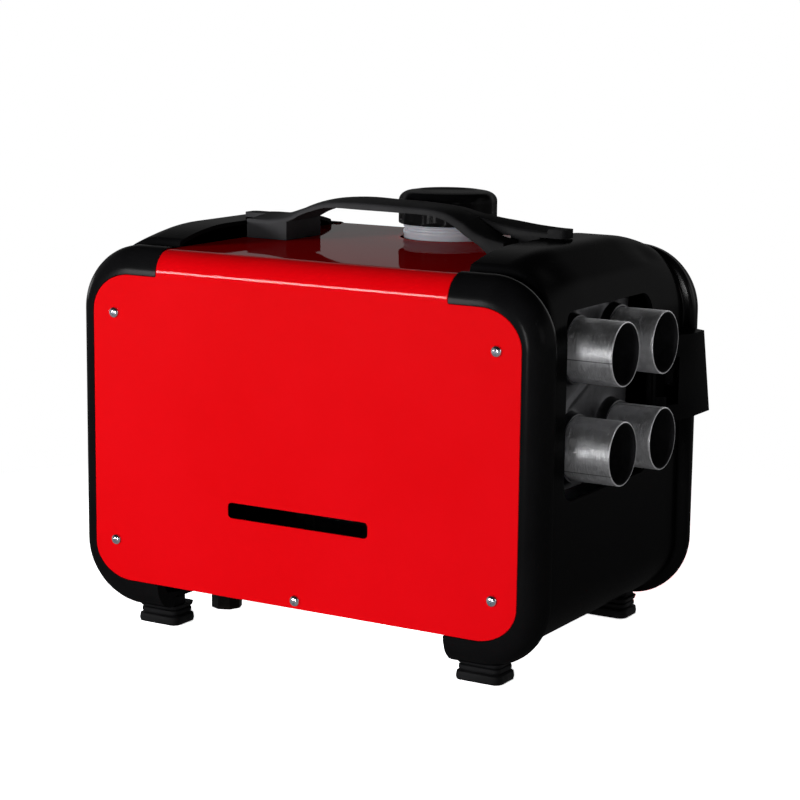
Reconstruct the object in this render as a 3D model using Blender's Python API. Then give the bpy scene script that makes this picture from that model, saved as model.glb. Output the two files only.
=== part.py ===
"""Parking heater: a portable diesel air heater in a carrying case.

Two black moulded end shells and a red sheet-steel wrap close the case. Inside stand the
fuel tank, the heater unit with its burner and fans, the dosing pump and the hot-air
manifold with four outlet tubes. Metres, +Z up, the front faces -Y. The origin is on the
floor under the middle of the overall box; the case itself is centred on the empty
case_frame, and every size below is measured from there.
"""
import math

import bmesh
import bpy
from mathutils import Vector

# Clearances
FIT = 0.0003
RUNNING_GAP = 0.0010

# Case outline, seen from the front
CASE_WIDTH = 0.362
CASE_DEPTH = 0.250
SHELL_BOTTOM = 0.015
CAP_TOP_Z = 0.301
CAP_HEIGHT = 0.024
CAP_SHEET_GAP = 0.010
TOP_SHEET_Z = CAP_TOP_Z - CAP_HEIGHT - CAP_SHEET_GAP
RIDGE_SHEET_RISE = 0.001
RIDGE_TOP = TOP_SHEET_Z + RIDGE_SHEET_RISE
CORNER_RADIUS = 0.045
NOTCH_INSET = 0.068
NOTCH_X = CASE_WIDTH / 2 - NOTCH_INSET

# End shells
SHELL_WALL = 0.003
BEAD_SIDE = 0.015
BEAD_TOP = 0.019
BEAD_BOTTOM = 0.020
RIDGE_SETBACK = 0.017
RIDGE_WIDTH = 0.004
WALL_INSET = 0.006
GROOVE_INSET = 0.0072
CROWN_RISE = 0.017
CROWN_DROP = 0.008
CROWN_FLAT = 0.039
FLANGE_REACH = 0.024
FLANGE_WALL = 0.0025
RETURN_WALL = 0.0025
FLUTE_DEPTH = 0.0035

# Sheet panels
SHEET = 0.0012
BEND_RADIUS = 0.016
REAR_LIP = 0.004
SLOT_LENGTH = 0.110
SLOT_HEIGHT = 0.0107
SLOT_X = 0.001
SLOT_Z = 0.0957
SLOT_CORNER = 0.003

# Panel screws
SCREW_INSET = 0.0326
SCREW_X = CASE_WIDTH / 2 - SCREW_INSET
SCREW_HIGH_DROP = 0.0457
SCREW_HIGH_Z = RIDGE_TOP - SCREW_HIGH_DROP
SCREW_LOW_Z = 0.0628
SCREW_MID_Z = 0.0407
HEAD_RADIUS = 0.0038
HEAD_RISE = 0.0022
SHANK_RADIUS = 0.0019
SHANK_LENGTH = 0.0085

# Base tray
TRAY_Z = 0.036
TRAY_SHEET = 0.0015
TRAY_INSET = 0.0325
TRAY_HALF_LENGTH = CASE_WIDTH / 2 - TRAY_INSET
TRAY_BEAD_GAP = 0.004
TRAY_FLANGE = 0.014

# Feet
FOOT_INSET_X = 0.0528
FOOT_INSET_Y = 0.0308
FOOT_X = CASE_WIDTH / 2 - FOOT_INSET_X
FOOT_Y = CASE_DEPTH / 2 - FOOT_INSET_Y
FOOT_LENGTH = 0.030
FOOT_DEPTH = 0.021
FOOT_STEM_RADIUS = 0.003
FOOT_STEM_GRIP = 0.005

# Hot-air outlets and manifold
TUBE_RADIUS = 0.021
TUBE_WALL = 0.0012
TUBE_STANDOUT = 0.021
TUBE_MOUTH_X = CASE_WIDTH / 2 + TUBE_STANDOUT
TUBE_FRONT_Y = -0.051
TUBE_REAR_Y = 0.0106
TUBE_HIGH_DROP = 0.0525
TUBE_PITCH_Z = 0.0646
TUBE_HIGH_Z = RIDGE_TOP - TUBE_HIGH_DROP
TUBE_LOW_Z = TUBE_HIGH_Z - TUBE_PITCH_Z
TUBE_SOCKET = 0.004
MANIFOLD_INSET = 0.020
MANIFOLD_FACE_X = CASE_WIDTH / 2 - MANIFOLD_INSET
MANIFOLD_MARGIN = 0.029
MANIFOLD_SHEET = 0.0012
COLLAR_LENGTH = 0.008
COLLAR_FLARE = 0.0035
RECESS_FRONT_Y = -0.080
RECESS_REAR_Y = 0.049
RECESS_LOW_MARGIN = 0.0309
RECESS_HIGH_MARGIN = 0.0275
RECESS_LOW_Z = TUBE_LOW_Z - RECESS_LOW_MARGIN
RECESS_HIGH_Z = TUBE_HIGH_Z + RECESS_HIGH_MARGIN
RECESS_CORNER = 0.012

# Heater unit
HEATER_HALF_WIDTH = 0.050
HEATER_HALF_HEIGHT = 0.056
HEATER_CORNER = 0.020
HEATER_WALL = 0.0025
HEATER_INLET_INSET = 0.029
HEATER_INLET_X = HEATER_INLET_INSET - CASE_WIDTH / 2
HEATER_OUTLET_X = 0.112
INLET_LENGTH = 0.082
EXCHANGER_START_X = HEATER_INLET_X + INLET_LENGTH
EXCHANGER_END_X = 0.085
EXCHANGER_CORE_RADIUS = 0.031
EXCHANGER_FIN_RADIUS = 0.043
EXCHANGER_FINS = 14
EXCHANGER_WALL = 0.004
BURNER_RADIUS = 0.022
BURNER_LENGTH = 0.070
PLUG_RADIUS = 0.0045
PLUG_TIP_RADIUS = 0.0025
HOUSING_WALL = 0.003
HOUSING_FLOOR = 0.002
FAN_RADIUS = 0.042
FAN_BLADES = 9
FAN_HUB_RADIUS = 0.012
MOTOR_RADIUS = 0.021
SHAFT_RADIUS = 0.003

# Fuel tank and filler
TANK_LEFT_REACH = 0.007
TANK_RIGHT_GAP = 0.003
TANK_LEFT_X = -NOTCH_X - TANK_LEFT_REACH
TANK_RIGHT_X = NOTCH_X - TANK_RIGHT_GAP
TANK_FRONT_Y = 0.036
TANK_REAR_GAP = 0.008
TANK_REAR_Y = CASE_DEPTH / 2 - TANK_REAR_GAP
TANK_SHEET_GAP = 0.010
TANK_TOP_Z = TOP_SHEET_Z - TANK_SHEET_GAP
TANK_WALL = 0.0025
TANK_CORNER = 0.014
FILLER_X = 0.002
FILLER_Y = 0.071
NECK_RADIUS = 0.032
NECK_WALL = 0.004
NECK_CAP_DROP = 0.010
NECK_TOP_Z = CAP_TOP_Z - NECK_CAP_DROP
NECK_HOLE_MARGIN = 0.002
CAP_RADIUS = 0.0345
CAP_LOBE = 0.0010
CAP_LOBES = 12
CAP_BOTTOM_Z = CAP_TOP_Z - CAP_HEIGHT
CAP_ROOF = 0.004
SEAL_THICKNESS = 0.0022

# Carrying handle
HANDLE_FRONT_Y = -0.021
HANDLE_REAR_Y = 0.016
HANDLE_CAP_DROP = 0.0005
HANDLE_TOP_Z = CAP_TOP_Z - HANDLE_CAP_DROP
HANDLE_LIP = 0.0045
HANDLE_FOOT_GAP = 0.003
HANDLE_FOOT_LENGTH = 0.034
HANDLE_PRONG_GAP = 0.016
HANDLE_BAR_REACH = 0.015
HANDLE_FOOT_LEFT_X = HANDLE_FOOT_GAP - NOTCH_X
HANDLE_FOOT_RIGHT_X = HANDLE_FOOT_LEFT_X + HANDLE_FOOT_LENGTH
HANDLE_PRONG_END_X = NOTCH_X - HANDLE_PRONG_GAP
HANDLE_BAR_END_X = NOTCH_X + HANDLE_BAR_REACH
HANDLE_SPLIT_Y = -0.004
HANDLE_SLOT = 0.005

# Cable cover on the right side
COVER_FRONT_Y = 0.052
COVER_FACE_GAP = 0.013
COVER_REAR_Y = CASE_DEPTH / 2 - COVER_FACE_GAP
COVER_HEIGHT = 0.061
COVER_RIDGE_DROP = 0.055
COVER_HIGH_Z = RIDGE_TOP - COVER_RIDGE_DROP
COVER_LOW_Z = COVER_HIGH_Z - COVER_HEIGHT
COVER_STANDOUT = 0.009
COVER_OUTER_X = CASE_WIDTH / 2 + COVER_STANDOUT
COVER_WALL = 0.0025
GLAND_RADIUS = 0.008

# Controller and intake grille on the left side
CONTROLLER_Y = -0.020
CONTROLLER_DROP = 0.0912
CONTROLLER_Z = (TUBE_HIGH_Z + TUBE_LOW_Z) / 2 - CONTROLLER_DROP
CONTROLLER_LENGTH = 0.090
CONTROLLER_HEIGHT = 0.044
CONTROLLER_DEPTH = 0.015
BEZEL_MARGIN = 0.003
BEZEL_THICKNESS = 0.0016
LENS_LENGTH = 0.046
LENS_HEIGHT = 0.030
LENS_THICKNESS = 0.0015
BUTTON_RADIUS = 0.004
BUTTON_TRAVEL = 0.0012
BUTTON_PITCH = 0.016
BUTTON_PROUD = 0.0015
BUTTON_LENGTH = 0.005
GRILLE_RADIUS = 0.044
GRILLE_RIM = 0.003
GRILLE_RING = 0.0022
GRILLE_SPOKE = 0.0028
GRILLE_HUB_RADIUS = 0.008
GRILLE_ROWS = 3
GRILLE_SPOKES = 6
GRILLE_FLANGE = 0.003
GRILLE_FLANGE_WALL = 0.0017
GRILLE_FLANGE_GAP = 0.0013

# Fuel pump, pipes and hoses
PUMP_RADIUS = 0.014
PUMP_LENGTH = 0.062
PUMP_REACH = 0.115
PUMP_X = EXCHANGER_START_X + PUMP_REACH
PUMP_Y = -0.030
PUMP_Z = 0.075
PUMP_PORT_RADIUS = 0.003
HOSE_RADIUS = 0.003
EXHAUST_RADIUS = 0.011
AIR_PIPE_RADIUS = 0.009
PIPE_WALL = 0.001
EXHAUST_REACH = 0.0305
EXHAUST_END_X = EXCHANGER_START_X - EXHAUST_REACH
EXHAUST_END_Y = -0.060
EXHAUST_END_Z = 0.007

# Sides of round shapes
LARGE_SIDES = 24
TUBE_SIDES = 20
MIDDLE_SIDES = 14
SMALL_SIDES = 8
LOW_CORNER_STEPS = 4
HIGH_CORNER_STEPS = 5

# Worked out from the sizes above
CASE_X = (CASE_WIDTH / 2 - TUBE_MOUTH_X) / 2
HALF_WIDTH = CASE_WIDTH / 2
FACE_Y = CASE_DEPTH / 2
ARC_X = HALF_WIDTH - CORNER_RADIUS
ARC_LOW_Z = SHELL_BOTTOM + CORNER_RADIUS
ARC_HIGH_Z = RIDGE_TOP - CORNER_RADIUS
SIDE_WALL_X = HALF_WIDTH - WALL_INSET
SIDE_INNER_X = SIDE_WALL_X - SHELL_WALL
RIDGE_REAR_Y = FACE_Y - RIDGE_SETBACK - RIDGE_WIDTH
GROOVE_END_Y = RIDGE_REAR_Y - 0.0045
CROWN_FOOT_Y = GROOVE_END_Y - 0.004
SHELL_EDGE_X = NOTCH_X + FIT
CROWN_TOP_Z = RIDGE_TOP - WALL_INSET + CROWN_RISE
PANEL_SIDE_X = HALF_WIDTH - BEAD_SIDE
PANEL_LOW_Z = SHELL_BOTTOM + BEAD_BOTTOM
PANEL_HIGH_Z = RIDGE_TOP - BEAD_TOP
BEND_Z = TOP_SHEET_Z - BEND_RADIUS
FLANGE_Y = FACE_Y - SHEET - FIT
TRAY_TOP_Z = TRAY_Z + TRAY_SHEET
HEATER_Y = (TUBE_FRONT_Y + TUBE_REAR_Y) / 2
HEATER_Z = (TUBE_HIGH_Z + TUBE_LOW_Z) / 2
SHEET_FLOOR_Z = TOP_SHEET_Z + FIT

for old in list(bpy.data.objects):
    bpy.data.objects.remove(old)

case_frame = bpy.data.objects.new("case_frame", None)
case_frame.location.x = CASE_X
bpy.context.collection.objects.link(case_frame)


# Materials
def finish(name, colour, roughness, metallic=0.0):
    material = bpy.data.materials.new(name)
    material.use_nodes = True
    shader = material.node_tree.nodes["Principled BSDF"]
    shader.inputs["Base Color"].default_value = (*colour, 1.0)
    shader.inputs["Roughness"].default_value = roughness
    shader.inputs["Metallic"].default_value = metallic
    return material


BLACK_SHELL = ((0.012, 0.012, 0.013), 0.38)
RED_PAINT = ((0.80, 0.008, 0.012), 0.18)
ZINC = ((0.78, 0.79, 0.80), 0.28, 1.0)
GALVANISED = ((0.55, 0.56, 0.58), 0.32, 1.0)
BARE_STEEL = ((0.42, 0.43, 0.45), 0.40, 1.0)
CAST_ALUMINIUM = ((0.62, 0.62, 0.63), 0.45, 1.0)
RUBBER = ((0.015, 0.015, 0.016), 0.75)
TANK_PLASTIC = ((0.80, 0.82, 0.84), 0.35)
GREY_PLASTIC = ((0.06, 0.06, 0.065), 0.5)
DARK_GLASS = ((0.02, 0.03, 0.05), 0.08)
BOARD_GREEN = ((0.02, 0.16, 0.06), 0.5)
BRASS = ((0.75, 0.55, 0.22), 0.3, 1.0)


# Modelling helpers
def add_object(name, bm, look, pivot=(0.0, 0.0, 0.0)):
    """Make a named piece; its origin is the pivot, given in case coordinates."""
    bmesh.ops.translate(bm, verts=bm.verts, vec=-Vector(pivot))
    bmesh.ops.recalc_face_normals(bm, faces=bm.faces)
    mesh = bpy.data.meshes.new(name)
    bm.to_mesh(mesh)
    bm.free()
    mesh.shade_smooth()
    mesh.set_sharp_from_angle(angle=math.radians(30))
    piece = bpy.data.objects.new(name, mesh)
    piece.parent = case_frame
    piece.location = pivot
    bpy.context.collection.objects.link(piece)
    if look:
        mesh.materials.append(finish(name, *look))
    return piece


def combine(piece, bm, operation, label):
    """Add a Boolean to a piece; the tool shape stays as a hidden guide."""
    tool = add_object(label, bm, None)
    tool.hide_render = True
    tool.display_type = "WIRE"
    boolean = piece.modifiers.new(label, "BOOLEAN")
    boolean.operation = operation
    boolean.solver = "EXACT"
    boolean.object = tool


def cut(piece, bm, label):
    combine(piece, bm, "DIFFERENCE", label)


def join(piece, bm, label):
    combine(piece, bm, "UNION", label)


def at(axis, along, first, second):
    """A point from its distance along an axis and its other two coordinates in order."""
    if axis == "X":
        return Vector((along, first, second))
    if axis == "Y":
        return Vector((first, along, second))
    return Vector((first, second, along))


def prism(outline, axis, low, high, bm=None):
    """Extrude a flat outline along an axis, into a mesh of its own or a given one."""
    bm = bm or bmesh.new()
    corners = [bm.verts.new(at(axis, low, first, second)) for first, second in outline]
    face = bm.faces.new(corners)
    grown = bmesh.ops.extrude_face_region(bm, geom=[face])
    moved = [item for item in grown["geom"] if isinstance(item, bmesh.types.BMVert)]
    bmesh.ops.translate(bm, verts=moved, vec=at(axis, high - low, 0.0, 0.0))
    bmesh.ops.recalc_face_normals(bm, faces=bm.faces)
    return bm


def block(low, high):
    """A box between two opposite corners."""
    outline = [(low[0], low[1]), (high[0], low[1]), (high[0], high[1]), (low[0], high[1])]
    return prism(outline, "Z", low[2], high[2])


def round_outline(first, second, half_first, half_second, corner, steps=3):
    """A rectangle with round corners about a centre."""
    points = []
    for turn, (side_a, side_b) in enumerate(((1, 1), (-1, 1), (-1, -1), (1, -1))):
        for step in range(steps + 1):
            angle = math.radians(90 * turn + 90 * step / steps)
            points.append((
                first + side_a * (half_first - corner) + corner * math.cos(angle),
                second + side_b * (half_second - corner) + corner * math.sin(angle)))
    return points


def circle_outline(first, second, radius, steps):
    return [(first + radius * math.cos(2 * math.pi * step / steps),
             second + radius * math.sin(2 * math.pi * step / steps)) for step in range(steps)]


def loft(axis, sections):
    """Bridge outlines of equal length, each with its place along an axis, and cap the ends."""
    bm = bmesh.new()
    loops = []
    for along, outline in sections:
        loops.append([bm.verts.new(at(axis, along, first, second)) for first, second in outline])
    for lower, upper in zip(loops, loops[1:]):
        for index in range(len(lower)):
            after = (index + 1) % len(lower)
            bm.faces.new((lower[index], lower[after], upper[after], upper[index]))
    bmesh.ops.triangulate(bm, faces=bm.faces)
    bm.faces.new(loops[0])
    bm.faces.new(loops[-1])
    bmesh.ops.recalc_face_normals(bm, faces=bm.faces)
    return bm


def turned(axis, centre, profile, steps, closed=False):
    """Spin a profile of (radius, place along the axis) about the axis through a centre."""
    bm = bmesh.new()
    verts = []
    for radius, along in profile:
        if axis == "X":
            verts.append(bm.verts.new((along, centre[0] + radius, centre[1])))
        elif axis == "Y":
            verts.append(bm.verts.new((centre[0] + radius, along, centre[1])))
        else:
            verts.append(bm.verts.new((centre[0] + radius, centre[1], along)))
    edges = [bm.edges.new(pair) for pair in zip(verts, verts[1:])]
    if closed:
        edges.append(bm.edges.new((verts[-1], verts[0])))
    bmesh.ops.spin(
        bm, geom=verts + edges, cent=at(axis, 0.0, *centre), axis=at(axis, 1.0, 0.0, 0.0),
        angle=2 * math.pi, steps=steps, use_merge=True)
    bmesh.ops.remove_doubles(bm, verts=bm.verts, dist=1e-6)
    bmesh.ops.recalc_face_normals(bm, faces=bm.faces)
    return bm


def rod(axis, centre, radius, low, high, steps=MIDDLE_SIDES):
    return prism(circle_outline(*centre, radius, steps), axis, low, high)


def ring(axis, centre, outer, inner, low, high, steps=LARGE_SIDES):
    profile = [(outer, low), (outer, high), (inner, high), (inner, low)]
    return turned(axis, centre, profile, steps, closed=True)


def new_face(geometry):
    return next(item for item in geometry if isinstance(item, bmesh.types.BMFace))


def drop_face(bm, face):
    """Remove the face that an extrusion started from, if it is still there."""
    if face.is_valid:
        bmesh.ops.delete(bm, geom=[face], context="FACES_ONLY")


def pull_face(bm, face, offset, keep=False):
    """Extrude a face along an offset and return its new end face."""
    grown = bmesh.ops.extrude_face_region(bm, geom=[face])["geom"]
    moved = [item for item in grown if isinstance(item, bmesh.types.BMVert)]
    bmesh.ops.translate(bm, verts=moved, vec=offset)
    if not keep:
        drop_face(bm, face)
    return new_face(grown)


def bend_face(bm, face, centre, axis, angle, steps):
    """Spin a face about an axis and return its new end face."""
    swept = bmesh.ops.spin(
        bm, geom=[face], cent=centre, axis=axis, angle=math.radians(angle), steps=steps)["geom_last"]
    drop_face(bm, face)
    return new_face(swept)


def smooth(value):
    value = min(max(value, 0.0), 1.0)
    return value * value * (3 - 2 * value)


# End shells: black moulded cups whose cross-section runs round the outline
def crown_stations():
    """Places across the depth, from the crown's foot to its flat middle."""
    return [CROWN_FOOT_Y - (CROWN_FOOT_Y - CROWN_FLAT) * share for share in (0.0, 0.3, 0.65, 1.0)]


def shell_section():
    """The wall's section as (y, inset from the outline), once round, front to rear."""
    bead_steps = 3
    back_of_flange = FLANGE_Y - FLANGE_WALL
    flange_end = BEAD_SIDE + FLANGE_REACH
    outer = []
    for step in range(bead_steps + 1):
        angle = math.radians(90 * step / bead_steps)
        outer.append((
            FACE_Y - RIDGE_SETBACK + RIDGE_SETBACK * math.cos(angle),
            (BEAD_SIDE - FIT) * (1 - math.sin(angle))))
    outer += [
        (RIDGE_REAR_Y, 0.0),
        (RIDGE_REAR_Y - 0.001, GROOVE_INSET),
        (GROOVE_END_Y, GROOVE_INSET)]
    outer += [(y, WALL_INSET) for y in crown_stations()]
    inner = [(y, WALL_INSET + SHELL_WALL) for y in reversed(crown_stations()[1::2])]
    inner += [
        (CROWN_FOOT_Y - SHELL_WALL, WALL_INSET + SHELL_WALL),
        (GROOVE_END_Y - 0.001, GROOVE_INSET + SHELL_WALL),
        (RIDGE_REAR_Y + 0.0005 - SHELL_WALL, GROOVE_INSET + SHELL_WALL),
        (FACE_Y - 0.012, BEAD_SIDE / 2 + 0.0015),
        (back_of_flange, BEAD_SIDE + 0.002),
        (back_of_flange, flange_end),
        (FLANGE_Y, flange_end),
        (FLANGE_Y, BEAD_SIDE - FIT)]
    front = [(-y, inset) for y, inset in outer]
    front_inner = [(-y, inset) for y, inset in inner]
    return front + outer[::-1] + inner[::-1] + front_inner


def crown(y):
    """How far the shell's top wall rises above the plain outline."""
    reach = (abs(y) - CROWN_FLAT) / (CROWN_FOOT_Y - CROWN_FLAT)
    if reach > 1.001:
        return 0.0
    return CROWN_RISE - CROWN_DROP * max(reach, 0.0) ** 2


def end_shell_form():
    """Extrude and spin the section along the outline, then raise the crown."""
    bm = bmesh.new()
    corners = [bm.verts.new((SHELL_EDGE_X, y, SHELL_BOTTOM + inset))
               for y, inset in shell_section()]
    face = bm.faces.new(corners)

    along_y = (0.0, 1.0, 0.0)
    face = pull_face(bm, face, Vector((ARC_X - SHELL_EDGE_X, 0.0, 0.0)), keep=True)
    face = bend_face(bm, face, (ARC_X, 0.0, ARC_LOW_Z), along_y, -90, LOW_CORNER_STEPS)
    face = pull_face(bm, face, Vector((0.0, 0.0, ARC_HIGH_Z - ARC_LOW_Z)))
    face = bend_face(bm, face, (ARC_X, 0.0, ARC_HIGH_Z), along_y, -90, HIGH_CORNER_STEPS)
    pull_face(bm, face, Vector((SHELL_EDGE_X - ARC_X, 0.0, 0.0)))
    bmesh.ops.remove_doubles(bm, verts=bm.verts, dist=1e-6)

    bead_y = RIDGE_REAR_Y
    for vert in bm.verts:
        low = vert.co.z < ARC_LOW_Z
        centre_z = ARC_LOW_Z if low else ARC_HIGH_Z
        height = vert.co.z - centre_z
        if (low and height > -1e-6) or (not low and height < 1e-6):
            continue
        reach = math.hypot(max(vert.co.x - ARC_X, 0.0), height)
        inset = CORNER_RADIUS - reach
        new_reach = reach
        if abs(vert.co.y) > bead_y:
            bead = BEAD_BOTTOM if low else BEAD_TOP
            new_reach -= (bead - BEAD_SIDE) * min(inset / BEAD_SIDE, 1.0)
        elif not low and abs(vert.co.y) < GROOVE_END_Y:
            new_reach += crown(vert.co.y)
            share = height / reach
            hollow = smooth((share - 0.62) / 0.2) * smooth((0.995 - share) / 0.12)
            hollow *= smooth((CROWN_FOOT_Y - abs(vert.co.y)) / 0.03)
            new_reach -= FLUTE_DEPTH * hollow
        vert.co.z = centre_z + height * new_reach / reach
    return bm


def crown_outline():
    """Side view of the shell's inner end wall, down to the red top."""
    foot_z = TOP_SHEET_Z - SHEET - 0.006
    top = [(y, RIDGE_TOP - WALL_INSET - SHELL_WALL / 2 + crown(y)) for y in crown_stations()]
    rear = [(GROOVE_END_Y + 0.003, foot_z), (GROOVE_END_Y + 0.001, RIDGE_TOP - GROOVE_INSET - 0.0015)]
    outline = rear + top
    return outline + [(-y, z) for y, z in reversed(outline)]


def end_shell(name, side):
    """One end shell; side is 1 for the right-hand one and -1 for its mirror image."""
    bm = end_shell_form()
    bmesh.ops.scale(bm, vec=(side, 1.0, 1.0), verts=bm.verts)
    shell = add_object(name, bm, BLACK_SHELL)
    near = side * (SHELL_EDGE_X + FIT)
    far = side * (SHELL_EDGE_X + RETURN_WALL)
    join(shell, prism(crown_outline(), "X", min(near, far), max(near, far)), name + "_top_return")
    low_return = block(
        (min(near, far), -RIDGE_REAR_Y, SHELL_BOTTOM + GROOVE_INSET + SHELL_WALL / 2),
        (max(near, far), RIDGE_REAR_Y, TRAY_Z - FIT))
    join(shell, low_return, name + "_low_return")
    for row, y in (("front", -FOOT_Y), ("rear", FOOT_Y)):
        boss = rod("Z", (side * FOOT_X, y), FOOT_STEM_RADIUS + 0.003,
                   SHELL_BOTTOM + WALL_INSET + 0.001, TRAY_Z - FIT, SMALL_SIDES)
        join(shell, boss, f"{name}_{row}_foot_boss")
        hole = rod("Z", (side * FOOT_X, y), FOOT_STEM_RADIUS + FIT,
                   SHELL_BOTTOM - 0.002, SHELL_BOTTOM + WALL_INSET + FOOT_STEM_GRIP + FIT, SMALL_SIDES)
        cut(shell, hole, f"{name}_{row}_foot_hole")
    for row, y in (("front", -FACE_Y), ("rear", FACE_Y)):
        for level, z in (("high", SCREW_HIGH_Z), ("low", SCREW_LOW_Z)):
            hole = rod("Y", (side * SCREW_X, z), SHANK_RADIUS + FIT, y - 0.02, y + 0.02, SMALL_SIDES)
            cut(shell, hole, f"{name}_{row}_{level}_screw_hole")
    return shell


right_shell = end_shell("right_shell", 1)
recess_outline = round_outline(
    (RECESS_FRONT_Y + RECESS_REAR_Y) / 2, (RECESS_LOW_Z + RECESS_HIGH_Z) / 2,
    (RECESS_REAR_Y - RECESS_FRONT_Y) / 2, (RECESS_HIGH_Z - RECESS_LOW_Z) / 2, RECESS_CORNER, 4)
cut(right_shell, prism(recess_outline, "X", SIDE_INNER_X - 0.02, HALF_WIDTH + 0.01), "outlet_recess")
COVER_Y = (COVER_FRONT_Y + COVER_REAR_Y) / 2 - 0.004
COVER_Z = (COVER_LOW_Z + COVER_HIGH_Z) / 2
gland_hole = rod("X", (COVER_Y, COVER_Z), GLAND_RADIUS + FIT, SIDE_INNER_X - 0.01, SIDE_WALL_X + 0.01, SMALL_SIDES)
cut(right_shell, gland_hole, "gland_hole")

left_shell = end_shell("left_shell", -1)
grille_hole = rod("X", (HEATER_Y, HEATER_Z), GRILLE_RADIUS + FIT, -HALF_WIDTH - 0.01, -SIDE_INNER_X + 0.02,
                  LARGE_SIDES)
cut(left_shell, grille_hole, "grille_hole")
controller_hole = round_outline(
    CONTROLLER_Y, CONTROLLER_Z, CONTROLLER_LENGTH / 2 + FIT, CONTROLLER_HEIGHT / 2 + FIT, 0.004)
cut(left_shell, prism(controller_hole, "X", -HALF_WIDTH - 0.01, -SIDE_INNER_X + 0.01), "controller_hole")


# Sheet panels: one red wrap for the front and top, and a flat rear panel
def panel_corner(centre_z, radius_z, start, steps):
    """Quarter of an ellipse at a right-hand corner, from a start angle in degrees."""
    points = []
    for step in range(steps + 1):
        angle = math.radians(start + 90 * step / steps)
        points.append((ARC_X + (CORNER_RADIUS - BEAD_SIDE) * math.cos(angle),
                       centre_z + radius_z * math.sin(angle)))
    return points


def panel_outline(middle_z):
    """Front view of a panel whose middle part between the notches ends at middle_z."""
    right = panel_corner(ARC_LOW_Z, CORNER_RADIUS - BEAD_BOTTOM, -90, LOW_CORNER_STEPS)
    right += panel_corner(ARC_HIGH_Z, CORNER_RADIUS - BEAD_TOP, 0, HIGH_CORNER_STEPS)
    right += [(NOTCH_X, PANEL_HIGH_Z), (NOTCH_X, middle_z)]
    return right + [(-x, z) for x, z in reversed(right)]


wrap_bm = prism(panel_outline(BEND_Z), "Y", -FACE_Y, -FACE_Y + SHEET)
tongue = max(wrap_bm.faces, key=lambda face: face.calc_center_median().z)
along_x = (1.0, 0.0, 0.0)
tongue = bend_face(wrap_bm, tongue, (0.0, -FACE_Y + BEND_RADIUS, BEND_Z), along_x, -90, 6)
tongue = pull_face(wrap_bm, tongue, Vector((0.0, CASE_DEPTH - 2 * BEND_RADIUS, 0.0)))
tongue = bend_face(wrap_bm, tongue, (0.0, FACE_Y - BEND_RADIUS, BEND_Z), along_x, -90, 6)
pull_face(wrap_bm, tongue, Vector((0.0, 0.0, -REAR_LIP)))
bmesh.ops.remove_doubles(wrap_bm, verts=wrap_bm.verts, dist=1e-6)
front_top_panel = add_object("front_top_panel", wrap_bm, RED_PAINT)
slot_outline = round_outline(SLOT_X, SLOT_Z, SLOT_LENGTH / 2, SLOT_HEIGHT / 2, SLOT_CORNER)
cut(front_top_panel, prism(slot_outline, "Y", -FACE_Y - 0.01, -FACE_Y + 0.01), "front_slot")
neck_hole = rod("Z", (FILLER_X, FILLER_Y), NECK_RADIUS + NECK_HOLE_MARGIN, TOP_SHEET_Z - 0.01,
                TOP_SHEET_Z + 0.01, LARGE_SIDES)
cut(front_top_panel, neck_hole, "neck_hole")

rear_bm = prism(panel_outline(BEND_Z - REAR_LIP - FIT), "Y", FACE_Y - SHEET, FACE_Y)
rear_panel = add_object("rear_panel", rear_bm, RED_PAINT)


# Panel screws: four in the end shells and one in the tray, front and rear
def screw_form(x, z, facing):
    """A domed panel screw; facing is -1 at the front and 1 at the rear."""
    seat = FACE_Y + FIT
    profile = [(0.0, seat + HEAD_RISE)]
    for step in range(1, 3):
        angle = math.radians(90 * step / 3)
        profile.append((HEAD_RADIUS * math.sin(angle), seat + HEAD_RISE * math.cos(angle)))
    profile += [
        (HEAD_RADIUS, seat),
        (SHANK_RADIUS, seat),
        (SHANK_RADIUS, seat - SHANK_LENGTH + SHANK_RADIUS),
        (0.0, seat - SHANK_LENGTH)]
    return turned("Y", (x, z), [(radius, facing * along) for radius, along in profile], SMALL_SIDES)


SCREW_PLACES = (
    ("left_high", -SCREW_X, SCREW_HIGH_Z), ("left_low", -SCREW_X, SCREW_LOW_Z),
    ("middle_low", 0.0, SCREW_MID_Z), ("right_low", SCREW_X, SCREW_LOW_Z),
    ("right_high", SCREW_X, SCREW_HIGH_Z))
for row, facing, panel in (("front", -1, front_top_panel), ("rear", 1, rear_panel)):
    for place, x, z in SCREW_PLACES:
        add_object(f"{row}_screw_{place}", screw_form(x, z, facing), ZINC)
        hole = rod("Y", (x, z), SHANK_RADIUS + FIT, facing * FACE_Y - 0.003, facing * FACE_Y + 0.003,
                   SMALL_SIDES)
        cut(panel, hole, f"{row}_{place}_hole")


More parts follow.
